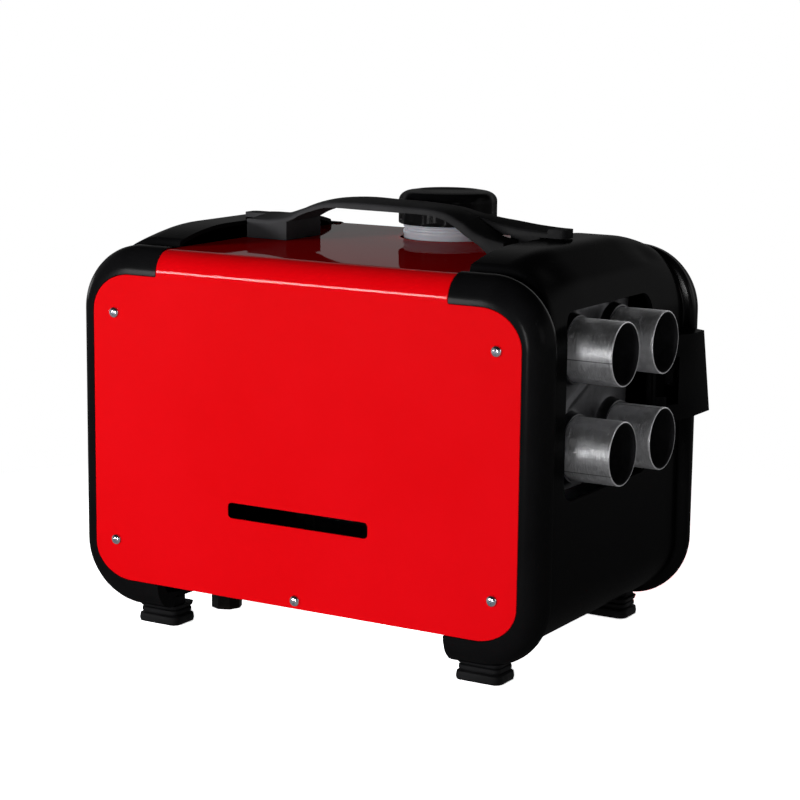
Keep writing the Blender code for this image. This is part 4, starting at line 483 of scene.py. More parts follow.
def shell_section():
    """The wall's section as (y, inset from the outline), once round from the front."""
    outer = []
    for step in range(11):
        angle = math.radians(9 * step)
        y = FACE_Y - BEAD_DEPTH + BEAD_DEPTH * math.cos(angle)
        outer.append((y, (BEAD_SIDE - FIT) * (1 - math.sin(angle))))
    outer += [(RIDGE_REAR_Y + ahead, inset) for ahead, inset in RIDGE_ROUND]
    outer += [(RIDGE_REAR_Y - 0.0009, GROOVE_INSET - 0.0010), (RIDGE_REAR_Y - 0.0013, GROOVE_INSET - 0.0003),
              (RIDGE_REAR_Y - 0.0020, GROOVE_INSET), (GROOVE_END_Y + 0.0006, GROOVE_INSET),
              (GROOVE_END_Y - 0.0010, GROOVE_INSET - 0.0004), (CROWN_FOOT_Y + 0.0008, WALL_INSET + 0.0001)]
    outer += [(y, WALL_INSET) for y in crown_stations()]
    outer += [(CROWN_FLAT / 2, WALL_INSET)]
    inner = [(CROWN_FLAT / 2, WALL_INSET + SHELL_WALL)]
    inner += [(y, WALL_INSET + SHELL_WALL) for y in reversed(crown_stations()[1:])]
    inner += [(CROWN_FOOT_Y - SHELL_WALL, WALL_INSET + SHELL_WALL),
              (GROOVE_END_Y - 0.001, GROOVE_INSET + SHELL_WALL),
              (RIDGE_REAR_Y + 0.0005 - SHELL_WALL, GROOVE_INSET + SHELL_WALL),
              (FACE_Y - 0.012, BEAD_SIDE / 2 + 0.0015),
              (FLANGE_Y - 0.0025, BEAD_SIDE + 0.002), (FLANGE_Y - 0.0025, BEAD_SIDE + FLANGE_WIDTH),
              (FLANGE_Y, BEAD_SIDE + FLANGE_WIDTH), (FLANGE_Y, BEAD_SIDE - FIT)]
    front = [(-y, inset) for y, inset in outer]
    front_inner = [(-y, inset) for y, inset in inner]
    return front + outer[::-1] + inner[::-1] + front_inner


def crown(y):
    """How far the raised top of a shell stands over its outline, at a depth."""
    reach = (abs(y) - CROWN_FLAT) / (CROWN_FOOT_Y - CROWN_FLAT)
    return 0.0 if reach > 1.001 else CROWN_RISE - CROWN_FALL * max(reach, 0.0) ** 2


def pull_face(bm, face, offset, first=False):
    """Extrude a face along an offset and return its new end."""
    grown = bmesh.ops.extrude_face_region(bm, geom=[face])["geom"]
    verts = [item for item in grown if isinstance(item, bmesh.types.BMVert)]
    bmesh.ops.translate(bm, verts=verts, vec=offset)
    if not first:
        bmesh.ops.delete(bm, geom=[face], context="FACES_ONLY")
    return next(item for item in grown if isinstance(item, bmesh.types.BMFace))


def bend_face(bm, face, centre, axis, angle, steps):
    """Spin a face about an axis and return its new end."""
    swept = bmesh.ops.spin(bm, geom=[face], cent=centre, axis=axis, angle=math.radians(angle), steps=steps)
    if face.is_valid:
        bmesh.ops.delete(bm, geom=[face], context="FACES_ONLY")
    return next(item for item in swept["geom_last"] if isinstance(item, bmesh.types.BMFace))


def slab(points, offset, bm=None):
    """A closed plate made by pulling a flat outline along an offset."""
    bm = bm or bmesh.new()
    face = bm.faces.new([bm.verts.new(point) for point in points])
    pull_face(bm, face, Vector(offset), first=True)
    outward(bm)
    return bm


def shell_form():
    """One end shell's wall, bent round the case from its bottom notch to its top one."""
    bm = bmesh.new()
    outline = [(NOTCH_X + FIT, y, SHELL_BOTTOM + inset) for y, inset in shell_section()]
    face = bm.faces.new([bm.verts.new(point) for point in outline])
    along_y = (0.0, 1.0, 0.0)
    face = pull_face(bm, face, Vector((ARC_X - NOTCH_X - FIT, 0.0, 0.0)), first=True)
    face = bend_face(bm, face, (ARC_X, 0.0, ARC_LOW_Z), along_y, -90, 18)
    face = pull_face(bm, face, Vector((0.0, 0.0, ARC_HIGH_Z - ARC_LOW_Z)))
    face = bend_face(bm, face, (ARC_X, 0.0, ARC_HIGH_Z), along_y, -90, 26)
    pull_face(bm, face, Vector((NOTCH_X + FIT - ARC_X, 0.0, 0.0)))
    bmesh.ops.remove_doubles(bm, verts=bm.verts, dist=1e-6)
    for vert in bm.verts:
        low = vert.co.z < ARC_LOW_Z
        centre_z = ARC_LOW_Z if low else ARC_HIGH_Z
        height = vert.co.z - centre_z
        if (low and height > -1e-6) or (not low and height < 1e-6):
            continue
        reach = math.hypot(max(vert.co.x - ARC_X, 0.0), height)
        inset = CORNER - reach
        new_reach = reach
        depth = abs(vert.co.y)
        if depth > RIDGE_REAR_Y - 0.0002:
            wider = (BEAD_BOTTOM if low else BEAD_TOP) - BEAD_SIDE
            new_reach -= wider * min(max(inset, 0.0) / BEAD_SIDE, 1.0)
        elif not low and depth < GROOVE_END_Y:
            fade = smooth((GROOVE_END_Y - depth) / (GROOVE_END_Y - CROWN_FOOT_Y))
            rise = crown(depth) if depth <= CROWN_FOOT_Y + 1e-6 else crown(CROWN_FOOT_Y) * fade
            share = height / reach
            hollow = smooth((share - 0.62) / 0.2) * smooth((0.995 - share) / 0.12)
            new_reach += rise - CROWN_HOLLOW * hollow * smooth((CROWN_FOOT_Y - depth) / 0.03)
        vert.co.z = centre_z + height * new_reach / reach
    outward(bm)
    return bm


def solid_from(bm, adds=(), cuts=()):
    """Join shapes to a bmesh, or cut them out of it, and give back the result as one bmesh."""
    holders = []
    steps = [(bm, None)] + [(add, "UNION") for add in adds] + [(cut, "DIFFERENCE") for cut in cuts]
    for shape, operation in steps:
        mesh = bpy.data.meshes.new("shape")
        shape.to_mesh(mesh)
        shape.free()
        holder = bpy.data.objects.new("shape", mesh)
        bpy.context.collection.objects.link(holder)
        holders.append(holder)
        if operation:
            boolean = holders[0].modifiers.new("shape", "BOOLEAN")
            boolean.operation = operation
            boolean.solver = "EXACT"
            boolean.object = holder
    made = bmesh.new()
    made.from_object(holders[0], bpy.context.evaluated_depsgraph_get())
    for holder in holders:
        mesh = holder.data
        bpy.data.objects.remove(holder)
        bpy.data.meshes.remove(mesh)
    bmesh.ops.dissolve_degenerate(made, edges=made.edges, dist=1e-6)
    return made


def crown_wall():
    """The flat end wall of the right shell's raised top, above the red sheet."""
    top = [(y, RIDGE_TOP - WALL_INSET - SHELL_WALL / 2 + crown(y)) for y in crown_stations()]
    rear = [(GROOVE_END_Y + 0.003, 0.2598), (GROOVE_END_Y + 0.001, RIDGE_TOP - GROOVE_INSET - 0.0015)]
    half = rear + top
    outline = half + [(-y, z) for y, z in reversed(half)]
    return slab([(NOTCH_X + 2 * FIT, y, z) for y, z in outline], (0.0022, 0.0, 0.0))


def plug(axis, centre, radius, low, high, steps=48):
    """A solid round bar along an axis, used to cut a hole or to add a boss."""
    profile = [(0.0, low), (radius, low), (radius, high), (0.0, high)]
    return turned_form(bmesh.new(), axis, centre, profile, steps)


def upright_on_x(low_x, high_x, low, high, corner, steps=6):
    """A block along X whose four long edges are rounded."""
    return rounded_block((low_x, *low), (high_x, *high), corner, steps, axis=0)


def block_about(centre, half_y, half_z, low_x, high_x, corner):
    """The same kind of block about a middle in y and z."""
    y, z = centre
    return upright_on_x(low_x, high_x, (y - half_y, z - half_z), (y + half_y, z + half_z), corner)


HEATER_Y, HEATER_Z = -0.0202, 0.1832
GLAND_AT, GLAND_HOLE, GRILLE_HOLE = (0.0, 0.078, 0.1825), 0.0083, 0.0443
OUTLET_OPENING, OUTLET_CORNER = ((-0.080, 0.120), (0.049, 0.243)), 0.012
CONTROLLER_OPENING, CONTROLLER_CORNER = ((-0.0653, 0.0697), (0.0253, 0.1143)), 0.004
right_form = solid_from(shell_form(), [crown_wall()])
left_form = right_form.copy()
bmesh.ops.scale(left_form, vec=(-1.0, 1.0, 1.0), verts=left_form.verts)
bmesh.ops.reverse_faces(left_form, faces=left_form.faces)
right_bm = solid_from(right_form, (), [
    upright_on_x(0.150, 0.190, *OUTLET_OPENING, OUTLET_CORNER),
    plug("X", GLAND_AT, GLAND_HOLE, 0.160, 0.190, 24)])
piece("right_end_shell", right_bm, gloss_black, "housing", ("right_shell",), 0.0006, 50.0)
left_bm = solid_from(left_form, (), [
    plug("X", (0.0, HEATER_Y, HEATER_Z), GRILLE_HOLE, -0.190, -0.160, 72),
    upright_on_x(-0.190, -0.160, *CONTROLLER_OPENING, CONTROLLER_CORNER)])
piece("left_end_shell", left_bm, gloss_black, "housing", ("left_shell",), 0.0006, 50.0)


# Red panels: powder-gloss painted sheet. One piece is folded over the front and the top,
# the other is the flat back; five screws hold each.
BEND_RADIUS, TOP_SHEET_Z, SHEET = 0.016, 0.267, 0.0012
BEND_Z = TOP_SHEET_Z - BEND_RADIUS
PANEL_HIGH_Z = RIDGE_TOP - BEAD_TOP
PANEL_EDGE, REAR_FALL, REAR_TONGUE = 0.00035, 0.0043, 0.004
look, red_paint = finish("gloss_red_paint", (0.76, 0.0014, 0.0044), 0.30, Specular_IOR_Level=0.0,
                         Coat_Roughness=0.035)
peel = look.noise(320.0, 2.0, 0.4)
drift = scuffed(look, 0.0, 1.0, 6.0)
# Painted shade: faces turned towards the inside of the case get a near-black colour and no coat, standing in
# for the shade inside the case. Faces turned outwards get the red paint.
from_middle = look.node("ShaderNodeVectorMath", {"operation": "SUBTRACT"}, {
    0: look.place, 1: (0.0, 0.0, 0.14)})
facing_out = look.node("ShaderNodeVectorMath", {"operation": "DOT_PRODUCT"}, {
    0: look.node("ShaderNodeNewGeometry", {}, {}, "Normal"), 1: from_middle}, "Value")
outer_side = look.ramp(facing_out, -0.002, 0.002)
red = tint(look, drift, (0.700, 0.0009, 0.0032), (0.740, 0.0018, 0.0055))
look.surface(Coat_Weight=(0.160 - drift * 0.012) * outer_side, Roughness=0.26 + drift * 0.08,
             Base_Color=tint(look, outer_side, (0.006, 0.004, 0.004), red))
relief(look, peel, 0.020, 0.0003)


def panel_outline(middle_z, steps=18):
    """Front view of a panel; its middle part between the shells ends at middle_z."""
    right_half = []
    radius_x = CORNER - BEAD_SIDE
    corners = ((ARC_LOW_Z, CORNER - BEAD_BOTTOM, -90), (ARC_HIGH_Z, CORNER - BEAD_TOP, 0))
    for centre_z, radius_z, start in corners:
        for step in range(steps + 1):
            angle = math.radians(start + 90 * step / steps)
            right_half.append((ARC_X + radius_x * math.cos(angle), centre_z + radius_z * math.sin(angle)))
    right_half += [(NOTCH_X + 0.0010, PANEL_HIGH_Z), (NOTCH_X, PANEL_HIGH_Z + 0.0010), (NOTCH_X, middle_z)]
    return right_half + [(-x, z) for x, z in reversed(right_half)]


def sheet_panel(y, thickness, middle_z):
    return slab([(x, y, z) for x, z in panel_outline(middle_z)], (0.0, thickness, 0.0))


wrap_bm = sheet_panel(-FACE_Y, SHEET, BEND_Z)
along_x = (1.0, 0.0, 0.0)
tongue = max(wrap_bm.faces, key=lambda face: face.calc_center_median().z)
tongue = bend_face(wrap_bm, tongue, (0.0, -FACE_Y + BEND_RADIUS, BEND_Z), along_x, -90, 20)
tongue = pull_face(wrap_bm, tongue, Vector((0.0, 2 * FACE_Y - 2 * BEND_RADIUS, 0.0)))
tongue = bend_face(wrap_bm, tongue, (0.0, FACE_Y - BEND_RADIUS, BEND_Z), along_x, -90, 20)
pull_face(wrap_bm, tongue, Vector((0.0, 0.0, -REAR_TONGUE)))
bmesh.ops.remove_doubles(wrap_bm, verts=wrap_bm.verts, dist=1e-6)
outward(wrap_bm)
SLOT_LENGTH, SLOT_HEIGHT, SLOT_CORNER, SLOT_X, SLOT_Z = 0.110, 0.0107, 0.003, 0.001, 0.0957
FILLER_HOLE = 0.034
slot_bm = upright_on_x(-0.02, 0.02, (-SLOT_LENGTH / 2, -SLOT_HEIGHT / 2), (SLOT_LENGTH / 2, SLOT_HEIGHT / 2),
                       SLOT_CORNER)
turn_shape(slot_bm, math.radians(90.0), "Z")
bmesh.ops.translate(slot_bm, verts=slot_bm.verts, vec=(SLOT_X, -FACE_Y, SLOT_Z))
filler_plug = plug("Z", (FILLER_X, FILLER_Y, 0.0), FILLER_HOLE, 0.255, 0.280, 96)
wrap_bm = solid_from(wrap_bm, (), [slot_bm, filler_plug])
piece("red_front_and_top", wrap_bm, red_paint, "housing", ("front_top_panel",), PANEL_EDGE, 60.0)
piece("red_back", sheet_panel(FACE_Y - SHEET, SHEET, BEND_Z - REAR_FALL), red_paint, "housing",
      ("rear_panel",), PANEL_EDGE, 60.0)


# Panel screws: bright zinc-plated dome heads with a cross recess, five in each panel.
look, bright_zinc = finish("bright_zinc", (0.72, 0.76, 0.82), 0.16, 1.0)
plating = scuffed(look, 0.0, 1.0, 500.0)
look.surface(Base_Color=tint(look, plating, (0.55, 0.62, 0.72), (0.80, 0.82, 0.85)),
             Roughness=0.10 + plating * 0.16)
HEAD_RADIUS, HEAD_HEIGHT, SHANK_RADIUS = 0.0038, 0.0022, 0.0019
CROSS_HALF_LENGTH, CROSS_HALF_WIDTH, CROSS_FLOOR, CROSS_TOP = 0.0021, 0.00035, 0.0009, 0.0030
CROSS_TAPER, CROSS_TURN = 0.55, 25.0
SCREWS = (("left_high", -0.1484, 0.2223), ("left_low", -0.1484, 0.0628), ("middle_low", 0.0, 0.0407),
          ("right_low", 0.1484, 0.0628), ("right_high", 0.1484, 0.2223))
for row, facing in (("front", -1), ("rear", 1)):
    for place, x, z in SCREWS:
        profile = [(0.0, HEAD_HEIGHT)]
        for step in range(1, 9):
            angle = math.radians(10 * step)
            profile.append((HEAD_RADIUS * math.sin(angle), HEAD_HEIGHT * math.cos(angle)))
        profile += [(HEAD_RADIUS, 0.0002), (0.0037, 0.0), (SHANK_RADIUS, 0.0), (SHANK_RADIUS, -0.0064),
                    (0.0, -0.0083)]
        head = turned_form(bmesh.new(), "Y", (0.0, 0.0, 0.0), profile, 32)
        recess = []
        for angle in (0.0, 90.0):
            arm = rounded_block((-CROSS_HALF_LENGTH, CROSS_FLOOR, -CROSS_HALF_WIDTH),
                                (CROSS_HALF_LENGTH, CROSS_TOP, CROSS_HALF_WIDTH))
            for vert in arm.verts:
                if vert.co.y < HEAD_HEIGHT:
                    vert.co.x *= CROSS_TAPER
            turn_shape(arm, math.radians(angle + CROSS_TURN), "Y")
            recess.append(arm)
        bm = solid_from(head, (), recess)
        if facing < 0:
            turn_shape(bm, math.pi, "Z")
        bmesh.ops.translate(bm, verts=bm.verts, vec=(x, facing * (FACE_Y + FIT), z))
        node = f"{row}_screw_{place}"
        piece(node + "_dome", bm, bright_zinc, "housing", (node,))


# Hot-air outlets: four short galvanised tubes pushed into the flared collars of a folded
# sheet box, which closes the right end of the heater unit inside the shell.
def spangled(name, dull, bright, centre=(0.0, 0.0), seam=None):
    """Galvanised sheet: zinc crystals and dull smears; a tube has fine marks round it, a seam, and painted
    shade inside its bore.
    """
    look, material = finish(name, bright, 0.4, 1.0)
    crystals = look.node("ShaderNodeTexVoronoi", {"feature": "F1"}, {
        "Vector": look.place, "Scale": 260.0, "Randomness": 1.0}, "Color")
    facets = look.node("ShaderNodeSeparateColor", {}, {"Color": crystals}, "Red")
    smears = look.noise(46.0, 8.0, 0.72)
    grime = look.ramp(smears, 0.48, 0.72)
    metal = tint(look, facets * 0.25 + 0.4, dull, bright)
    metal = tint(look, grime * 0.45, metal, dull)
    if seam is None:
        look.surface(Base_Color=metal, Roughness=0.40 + facets * 0.06 + grime * 0.16)
        relief(look, smears, 0.25, 0.0006)
        return material
    rings = streaks(look, (1.0, 0.03, 0.03), 3200.0)
    middle = look.node("ShaderNodeMapping", {}, {
        "Vector": look.place, "Location": (0.0, -centre[0], -centre[1])}, "Vector")
    part_y, part_z = look.parts(middle)[1:]
    radius = (part_y ** 2.0 + part_z ** 2.0) ** 0.5
    # Painted shade: inside the bore the colour goes near-black, standing in for the shade within the tube.
    painted_bore_shade = look.ramp(radius, 0.0200, 0.0206, 1.0, 0.0)
    across = part_z * math.cos(seam) + part_y * -math.sin(seam)
    ahead = look.ramp(part_y * math.cos(seam) + part_z * math.sin(seam), 0.0, 0.001)
    line = look.ramp(abs(across), 0.00012, 0.00045, 1.0, 0.0) * ahead
    metal = tint(look, (line * 0.8).most(painted_bore_shade * 0.97), metal, (0.012, 0.012, 0.014))
    look.surface(Base_Color=metal, Roughness=0.33 + facets * 0.05 + grime * 0.10 + painted_bore_shade * 0.31)
    relief(look, rings, 1.0, 0.0007)
    return material


TUBES = (("front_high", -0.051, 0.2155, 189.0), ("front_low", -0.051, 0.1509, 215.0),
         ("rear_high", 0.0106, 0.2155, 80.0), ("rear_low", 0.0106, 0.1509, 100.0))
TUBE_OUTSIDE, TUBE_BORE, TUBE_START, TUBE_END, RIM_ROUND = 0.0210, 0.0198, 0.1575, 0.2012, 0.0006
COLLAR_BORE, COLLAR_LIP, COLLAR_X = 0.0213, 0.0215, 0.1600
MANIFOLD_X, MANIFOLD_HALF_Y, MANIFOLD_HALF_Z, MANIFOLD_WALL = 0.161, 0.0598, 0.0613, 0.0012
# Painted shade: the box, its face and the collars get the tubes' galvanised finish made about ten times
# darker. This stands in for the shade in the recess behind the tubes.
shaded_plate_metal = spangled("galvanised_plate_shaded", (0.032, 0.032, 0.035), (0.080, 0.080, 0.084))


def lofted(sections):
    """A closed form bridged through sections of (x, outline in y and z)."""
    bm = bmesh.new()
    loops = [[bm.verts.new((x, y, z)) for y, z in outline] for x, outline in sections]
    for loop in loops:
        for pair in zip(loop, loop[1:] + loop[:1]):
            bm.edges.new(pair)
    bmesh.ops.bridge_loops(bm, edges=bm.edges)
    bm.faces.new(loops[0])
    bm.faces.new(loops[-1])
    outward(bm)
    return bm


INLET_X, FLARE_START_X, FLARE_END_X = 0.102, 0.114, 0.136
inlet, mouth = (0.0472, 0.0532, 0.0175), (MANIFOLD_HALF_Y, MANIFOLD_HALF_Z, 0.006)
sections = []
for x, (half_y, half_z, corner) in ((INLET_X, inlet), (FLARE_START_X, inlet), (FLARE_END_X, mouth),
                                    (MANIFOLD_X, mouth)):
    ring = block_about((HEATER_Y, HEATER_Z), half_y, half_z, x, x + 0.01, corner)
    end = min(ring.faces, key=lambda face: face.calc_center_median().x)
    sections.append((x, [(vert.co.y, vert.co.z) for vert in end.verts]))
    ring.free()
box_bm = lofted(sections)
inside = block_about((HEATER_Y, HEATER_Z), MANIFOLD_HALF_Y - MANIFOLD_WALL, MANIFOLD_HALF_Z - MANIFOLD_WALL,
                     0.1385, MANIFOLD_X - MANIFOLD_WALL, 0.005)
holes = [plug("X", (0.0, y, z), COLLAR_BORE, 0.150, 0.175, 64) for name, y, z, seam in TUBES]
box_bm = solid_from(box_bm, (), [inside] + holes)
piece("manifold_box", box_bm, shaded_plate_metal, "housing", ("outlet_manifold",), 0.0005, 35.0)


def off_tubes(y, z):
    """Distance from the nearest tube axis."""
    return min(math.hypot(y - centre_y, z - centre_z) for name, centre_y, centre_z, seam in TUBES)


FACE_WIDTH, FACE_HEIGHT, FOLD_Y, FOLD_Z, FOLD_SLOPE = 0.1160, 0.1190, -0.020, 0.1905, 0.42
RIB_HEIGHT, RIB_WIDTH, STEP_HEIGHT, FLARE_HEIGHT, FLARE_REACH = 0.0011, 0.0030, 0.0006, 0.0026, 0.0022
skin = bmesh.new()
bmesh.ops.create_grid(skin, x_segments=150, y_segments=150, size=0.5)
for vert in skin.verts:
    u, v = vert.co.x, vert.co.y
    y, z = HEATER_Y + u * FACE_WIDTH, HEATER_Z + v * FACE_HEIGHT
    fold = (z - FOLD_Z) - FOLD_SLOPE * (y - FOLD_Y)
    height = RIB_HEIGHT * math.exp(-(fold / RIB_WIDTH) ** 2) + STEP_HEIGHT * smooth(fold / 0.02)
    for name, centre_y, centre_z, seam in TUBES:
        away = math.hypot(y - centre_y, z - centre_z) - COLLAR_LIP
        height += FLARE_HEIGHT * math.exp(-max(away, 0.0) / FLARE_REACH) if away < 0.012 else 0.0
    rim = min(FACE_WIDTH / 2 - abs(y - HEATER_Y), FACE_HEIGHT / 2 - abs(z - HEATER_Z))
    vert.co = (MANIFOLD_X + 0.0003 + height * smooth(rim / 0.004), y, z)
middles = [(face, face.calc_center_median()) for face in skin.faces]
skin_faces = [face for face, middle in middles if off_tubes(middle.y, middle.z) < COLLAR_LIP]
bmesh.ops.delete(skin, geom=skin_faces, context="FACES")
outward(skin)
bmesh.ops.solidify(skin, geom=skin.faces, thickness=0.0006)
outward(skin)
piece("manifold_face", skin, shaded_plate_metal, "housing", ("outlet_manifold",))

for name, y, z, seam in TUBES:
    metal = spangled(f"galvanised_tube_{name}", (0.45, 0.45, 0.47), (0.93, 0.93, 0.95), (y, z),
                     math.radians(seam))
    collar_bm = turned_form(bmesh.new(), "X", (0.0, y, z), [
        (COLLAR_BORE, COLLAR_X), (0.0258, COLLAR_X), (0.0258, 0.1608), (0.0246, 0.1616), (0.0236, 0.1630),
        (0.0229, 0.1650), (0.0226, 0.1685), (0.0225, 0.1688), (COLLAR_LIP, 0.1690), (COLLAR_BORE, 0.1688),
        (COLLAR_BORE, COLLAR_X)], 64)
    piece(f"collar_{name}", collar_bm, shaded_plate_metal, "housing", ("outlet_manifold",))
    profile = [(0.0208, TUBE_START), (TUBE_OUTSIDE, TUBE_START + 0.0002), (TUBE_OUTSIDE, TUBE_END)]
    for step in range(0, 181, 30):
        angle = math.radians(step)
        rim_end = TUBE_END + 0.0002 + RIM_ROUND * math.sin(angle)
        profile.append((0.0204 + RIM_ROUND * math.cos(angle), rim_end))
    profile += [(TUBE_BORE, TUBE_END), (TUBE_BORE, TUBE_START + 0.0002), (0.0208, TUBE_START)]
    tube_bm = turned_form(bmesh.new(), "X", (0.0, y, z), profile, 96)
    piece(f"outlet_{name}", tube_bm, metal, "housing", (f"outlet_tube_{name}",))


# Carrying handle: one moulding of grained black plastic, an arched strap with a thin lip along
# its front, screwed down at the left foot and forked over the right shell.
def along(points, x):
    """The height at x on a smooth line through points of (x, height)."""
    x = min(max(x, points[0][0]), points[-1][0])
    index = max(i for i in range(len(points) - 1) if points[i][0] <= x)
    (x0, z0), (x1, z1) = points[index], points[index + 1]
    before, after = points[max(index - 1, 0)], points[min(index + 2, len(points) - 1)]
    span, t = x1 - x0, (x - x0) / (x1 - x0)
    slope0 = (z1 - before[1]) / (x1 - before[0]) * span
    slope1 = (after[1] - z0) / (after[0] - x0) * span
    return ((2 * t ** 3 - 3 * t ** 2 + 1) * z0 + (t ** 3 - 2 * t ** 2 + t) * slope0
            + (3 * t ** 2 - 2 * t ** 3) * z1 + (t ** 3 - t ** 2) * slope1)


LIP_TOP = (
    (-0.112, 0.2802), (-0.100, 0.2806), (-0.0886, 0.2814), (-0.0810, 0.2826), (-0.0733, 0.2847),
    (-0.0649, 0.2890), (-0.0566, 0.2923), (-0.0442, 0.2954), (-0.0278, 0.2967), (-0.0076, 0.2969),
    (0.0163, 0.2965), (0.0399, 0.2959), (0.0516, 0.2939), (0.0633, 0.2888), (0.0749, 0.2822),
    (0.0860, 0.2788), (0.0970, 0.2767))
LIP_LOW = (
    (-0.112, 0.2800), (-0.0766, 0.2809), (-0.0649, 0.2859), (-0.0524, 0.2901), (-0.0442, 0.2920),
    (-0.0360, 0.2925), (-0.0156, 0.2923), (0.0164, 0.2921), (0.0400, 0.2915), (0.0517, 0.2888),
    (0.0579, 0.2858), (0.0673, 0.2797), (0.0789, 0.2731), (0.0850, 0.2684), (0.0970, 0.2674))
REAR_TOP = (
    (-0.128, 0.2812), (-0.110, 0.2822), (-0.100, 0.2828), (-0.0891, 0.2844), (-0.0763, 0.2894),
    (-0.0636, 0.2934), (-0.0510, 0.2962), (-0.0360, 0.2978), (-0.0220, 0.2982), (-0.0056, 0.2977),
    (0.020, 0.2972), (0.045, 0.2953), (0.0600, 0.2923), (0.0762, 0.2901), (0.0893, 0.2888),
    (0.1046, 0.2871), (0.1197, 0.2860), (0.1310, 0.2856))
STRAP_FRONT, STRAP_REAR, FORK_FRONT, FORK_REAR = -0.0210, 0.0160, -0.0010, 0.0010
STRAP_BOW, STRAP_ROUND, LIP_THICKNESS = 0.0012, 0.0011, 0.0032
HANDLE_SOLE_Z, FORK_LOW_Z, FREE_CORNER = 0.2673, 0.2796, 0.004
BODY_SPAN, PRONG_SPAN, FORK_SPAN = (-0.108, 0.066), (0.058, 0.0965), (0.054, 0.127)


def strap_outline(x, front, rear, low, tilt=1.0):
    """One cross-section of the strap: a softly rounded top over a flat underside."""
    def top(y):
        share = (y - STRAP_FRONT) / (STRAP_REAR - STRAP_FRONT) * tilt
        bow = STRAP_BOW * (1.0 - (2.0 * share - 1.0) ** 2)
        return along(LIP_TOP, x) * (1.0 - share) + along(REAR_TOP, x) * share + bow

    half_round, count = STRAP_ROUND * 0.29, 10
    flat = rear - front - 2 * STRAP_ROUND
    inner = [(front + STRAP_ROUND + flat * step / count) for step in range(count + 1)]
    outline = [(front, low), (front, top(front) - STRAP_ROUND), (front + half_round, top(front) - half_round)]
    outline += [(y, top(y)) for y in inner]
    outline += [(rear - half_round, top(rear) - half_round), (rear, top(rear) - STRAP_ROUND), (rear, low)]
    return outline


def strap(start, end, steps, front, rear, low, tilt=lambda x: 1.0):
    """A length of the strap between two places along the case."""
    stations = [start + (end - start) * step / steps for step in range(steps + 1)]
    return lofted([(x, strap_outline(x, front, rear, low(x), tilt(x))) for x in stations])


def bar(low_x, high_x, front, rear, low, high, corner, side):
    """A flat bar of the handle with its free end rounded in plan; side is -1 or 1."""
    bm = rounded_block((low_x, front, low), (high_x, rear, high))
    free = [edge for edge in bm.edges if abs(edge.verts[0].co.z - edge.verts[1].co.z) > 1e-6
            and all(abs(vert.co.x - (high_x if side > 0 else low_x)) < 1e-6 for vert in edge.verts)]
    round_edges(bm, free, corner, 5)
    return bm


def lip_underside(x):
    return min(along(LIP_LOW, x), along(LIP_TOP, x) - LIP_THICKNESS)


look, handle_plastic = finish("handle_plastic", (0.036, 0.036, 0.038), 0.55, 0.0, Specular_IOR_Level=0.0,
                              Coat_Roughness=0.38)
grain = look.noise(1900.0, 3.0, 0.6)
wear = scuffed(look, 0.0, 1.0, 60.0)
along_case = look.parts(look.place)[0]
# Painted light: the ramp along the case makes the handle's colour paler towards its left foot and darker
# towards its forked right end. This stands in for how light falls along the handle; the wear and grain terms
# add real random tone on top.
pale_share = look.ramp(along_case, -0.11, 0.075, 0.85, 0.0) + wear * 0.10 + grain * 0.05
look.surface(Base_Color=tint(look, pale_share, (0.0080, 0.0080, 0.0084), (0.048, 0.048, 0.051)),
             Coat_Weight=0.045 + wear * 0.014)
relief(look, grain, 0.16, 0.0002)

body_bm = strap(*BODY_SPAN, 84, STRAP_FRONT, STRAP_REAR, lip_underside)
foot_bm = rounded_block((-0.110, STRAP_FRONT + 0.0003, HANDLE_SOLE_Z), (-0.0765, 0.0238, 0.2806))
prong_bm = strap(*PRONG_SPAN, 26, STRAP_FRONT + 0.00005, FORK_FRONT, lip_underside,
                 lambda x: 1.0 - 0.92 * smooth((x - 0.060) / 0.030))
fork_bm = strap(*FORK_SPAN, 40, FORK_REAR, STRAP_REAR - 0.00005,
                lambda x: max(FORK_LOW_Z, along(LIP_LOW, x)))
end_bm = bar(0.118, 0.1312, FORK_REAR, STRAP_REAR - 0.00005, FORK_LOW_Z, 0.2855, FREE_CORNER, 1)
under_bm = rounded_block((0.0900, FORK_REAR + 0.0004, HANDLE_SOLE_Z),
                         (NOTCH_X - 0.001, STRAP_REAR - 0.0004, 0.2830))
left_bm = bar(-0.128, -0.097, FORK_REAR, STRAP_REAR - 0.0002, 0.2793, 0.2826, FREE_CORNER, -1)
cheek_bm = rounded_block((0.0580, FORK_FRONT - 0.0010, 0.2865), (0.0660, FORK_REAR + 0.0010, 0.2905))
handle_bm = solid_from(body_bm, [foot_bm, prong_bm, fork_bm, end_bm, under_bm, left_bm, cheek_bm])
piece("handle_moulding", handle_bm, handle_plastic, "housing", ("carry_handle",),
      0.0006, 40.0)


# Filler cap: a black screw cap with twelve shallow grips round a wide rounded shoulder.
def grip_depth(angle, z):
    """How far the rim lies inside the round outline at one angle and height."""
    fade = smooth((z - 0.2775) / 0.002) * (1.0 - smooth((z - 0.2955) / 0.0045))
    return GRIP_DEPTH * fade * (1.0 - math.cos(12.0 * angle)) / 2.0


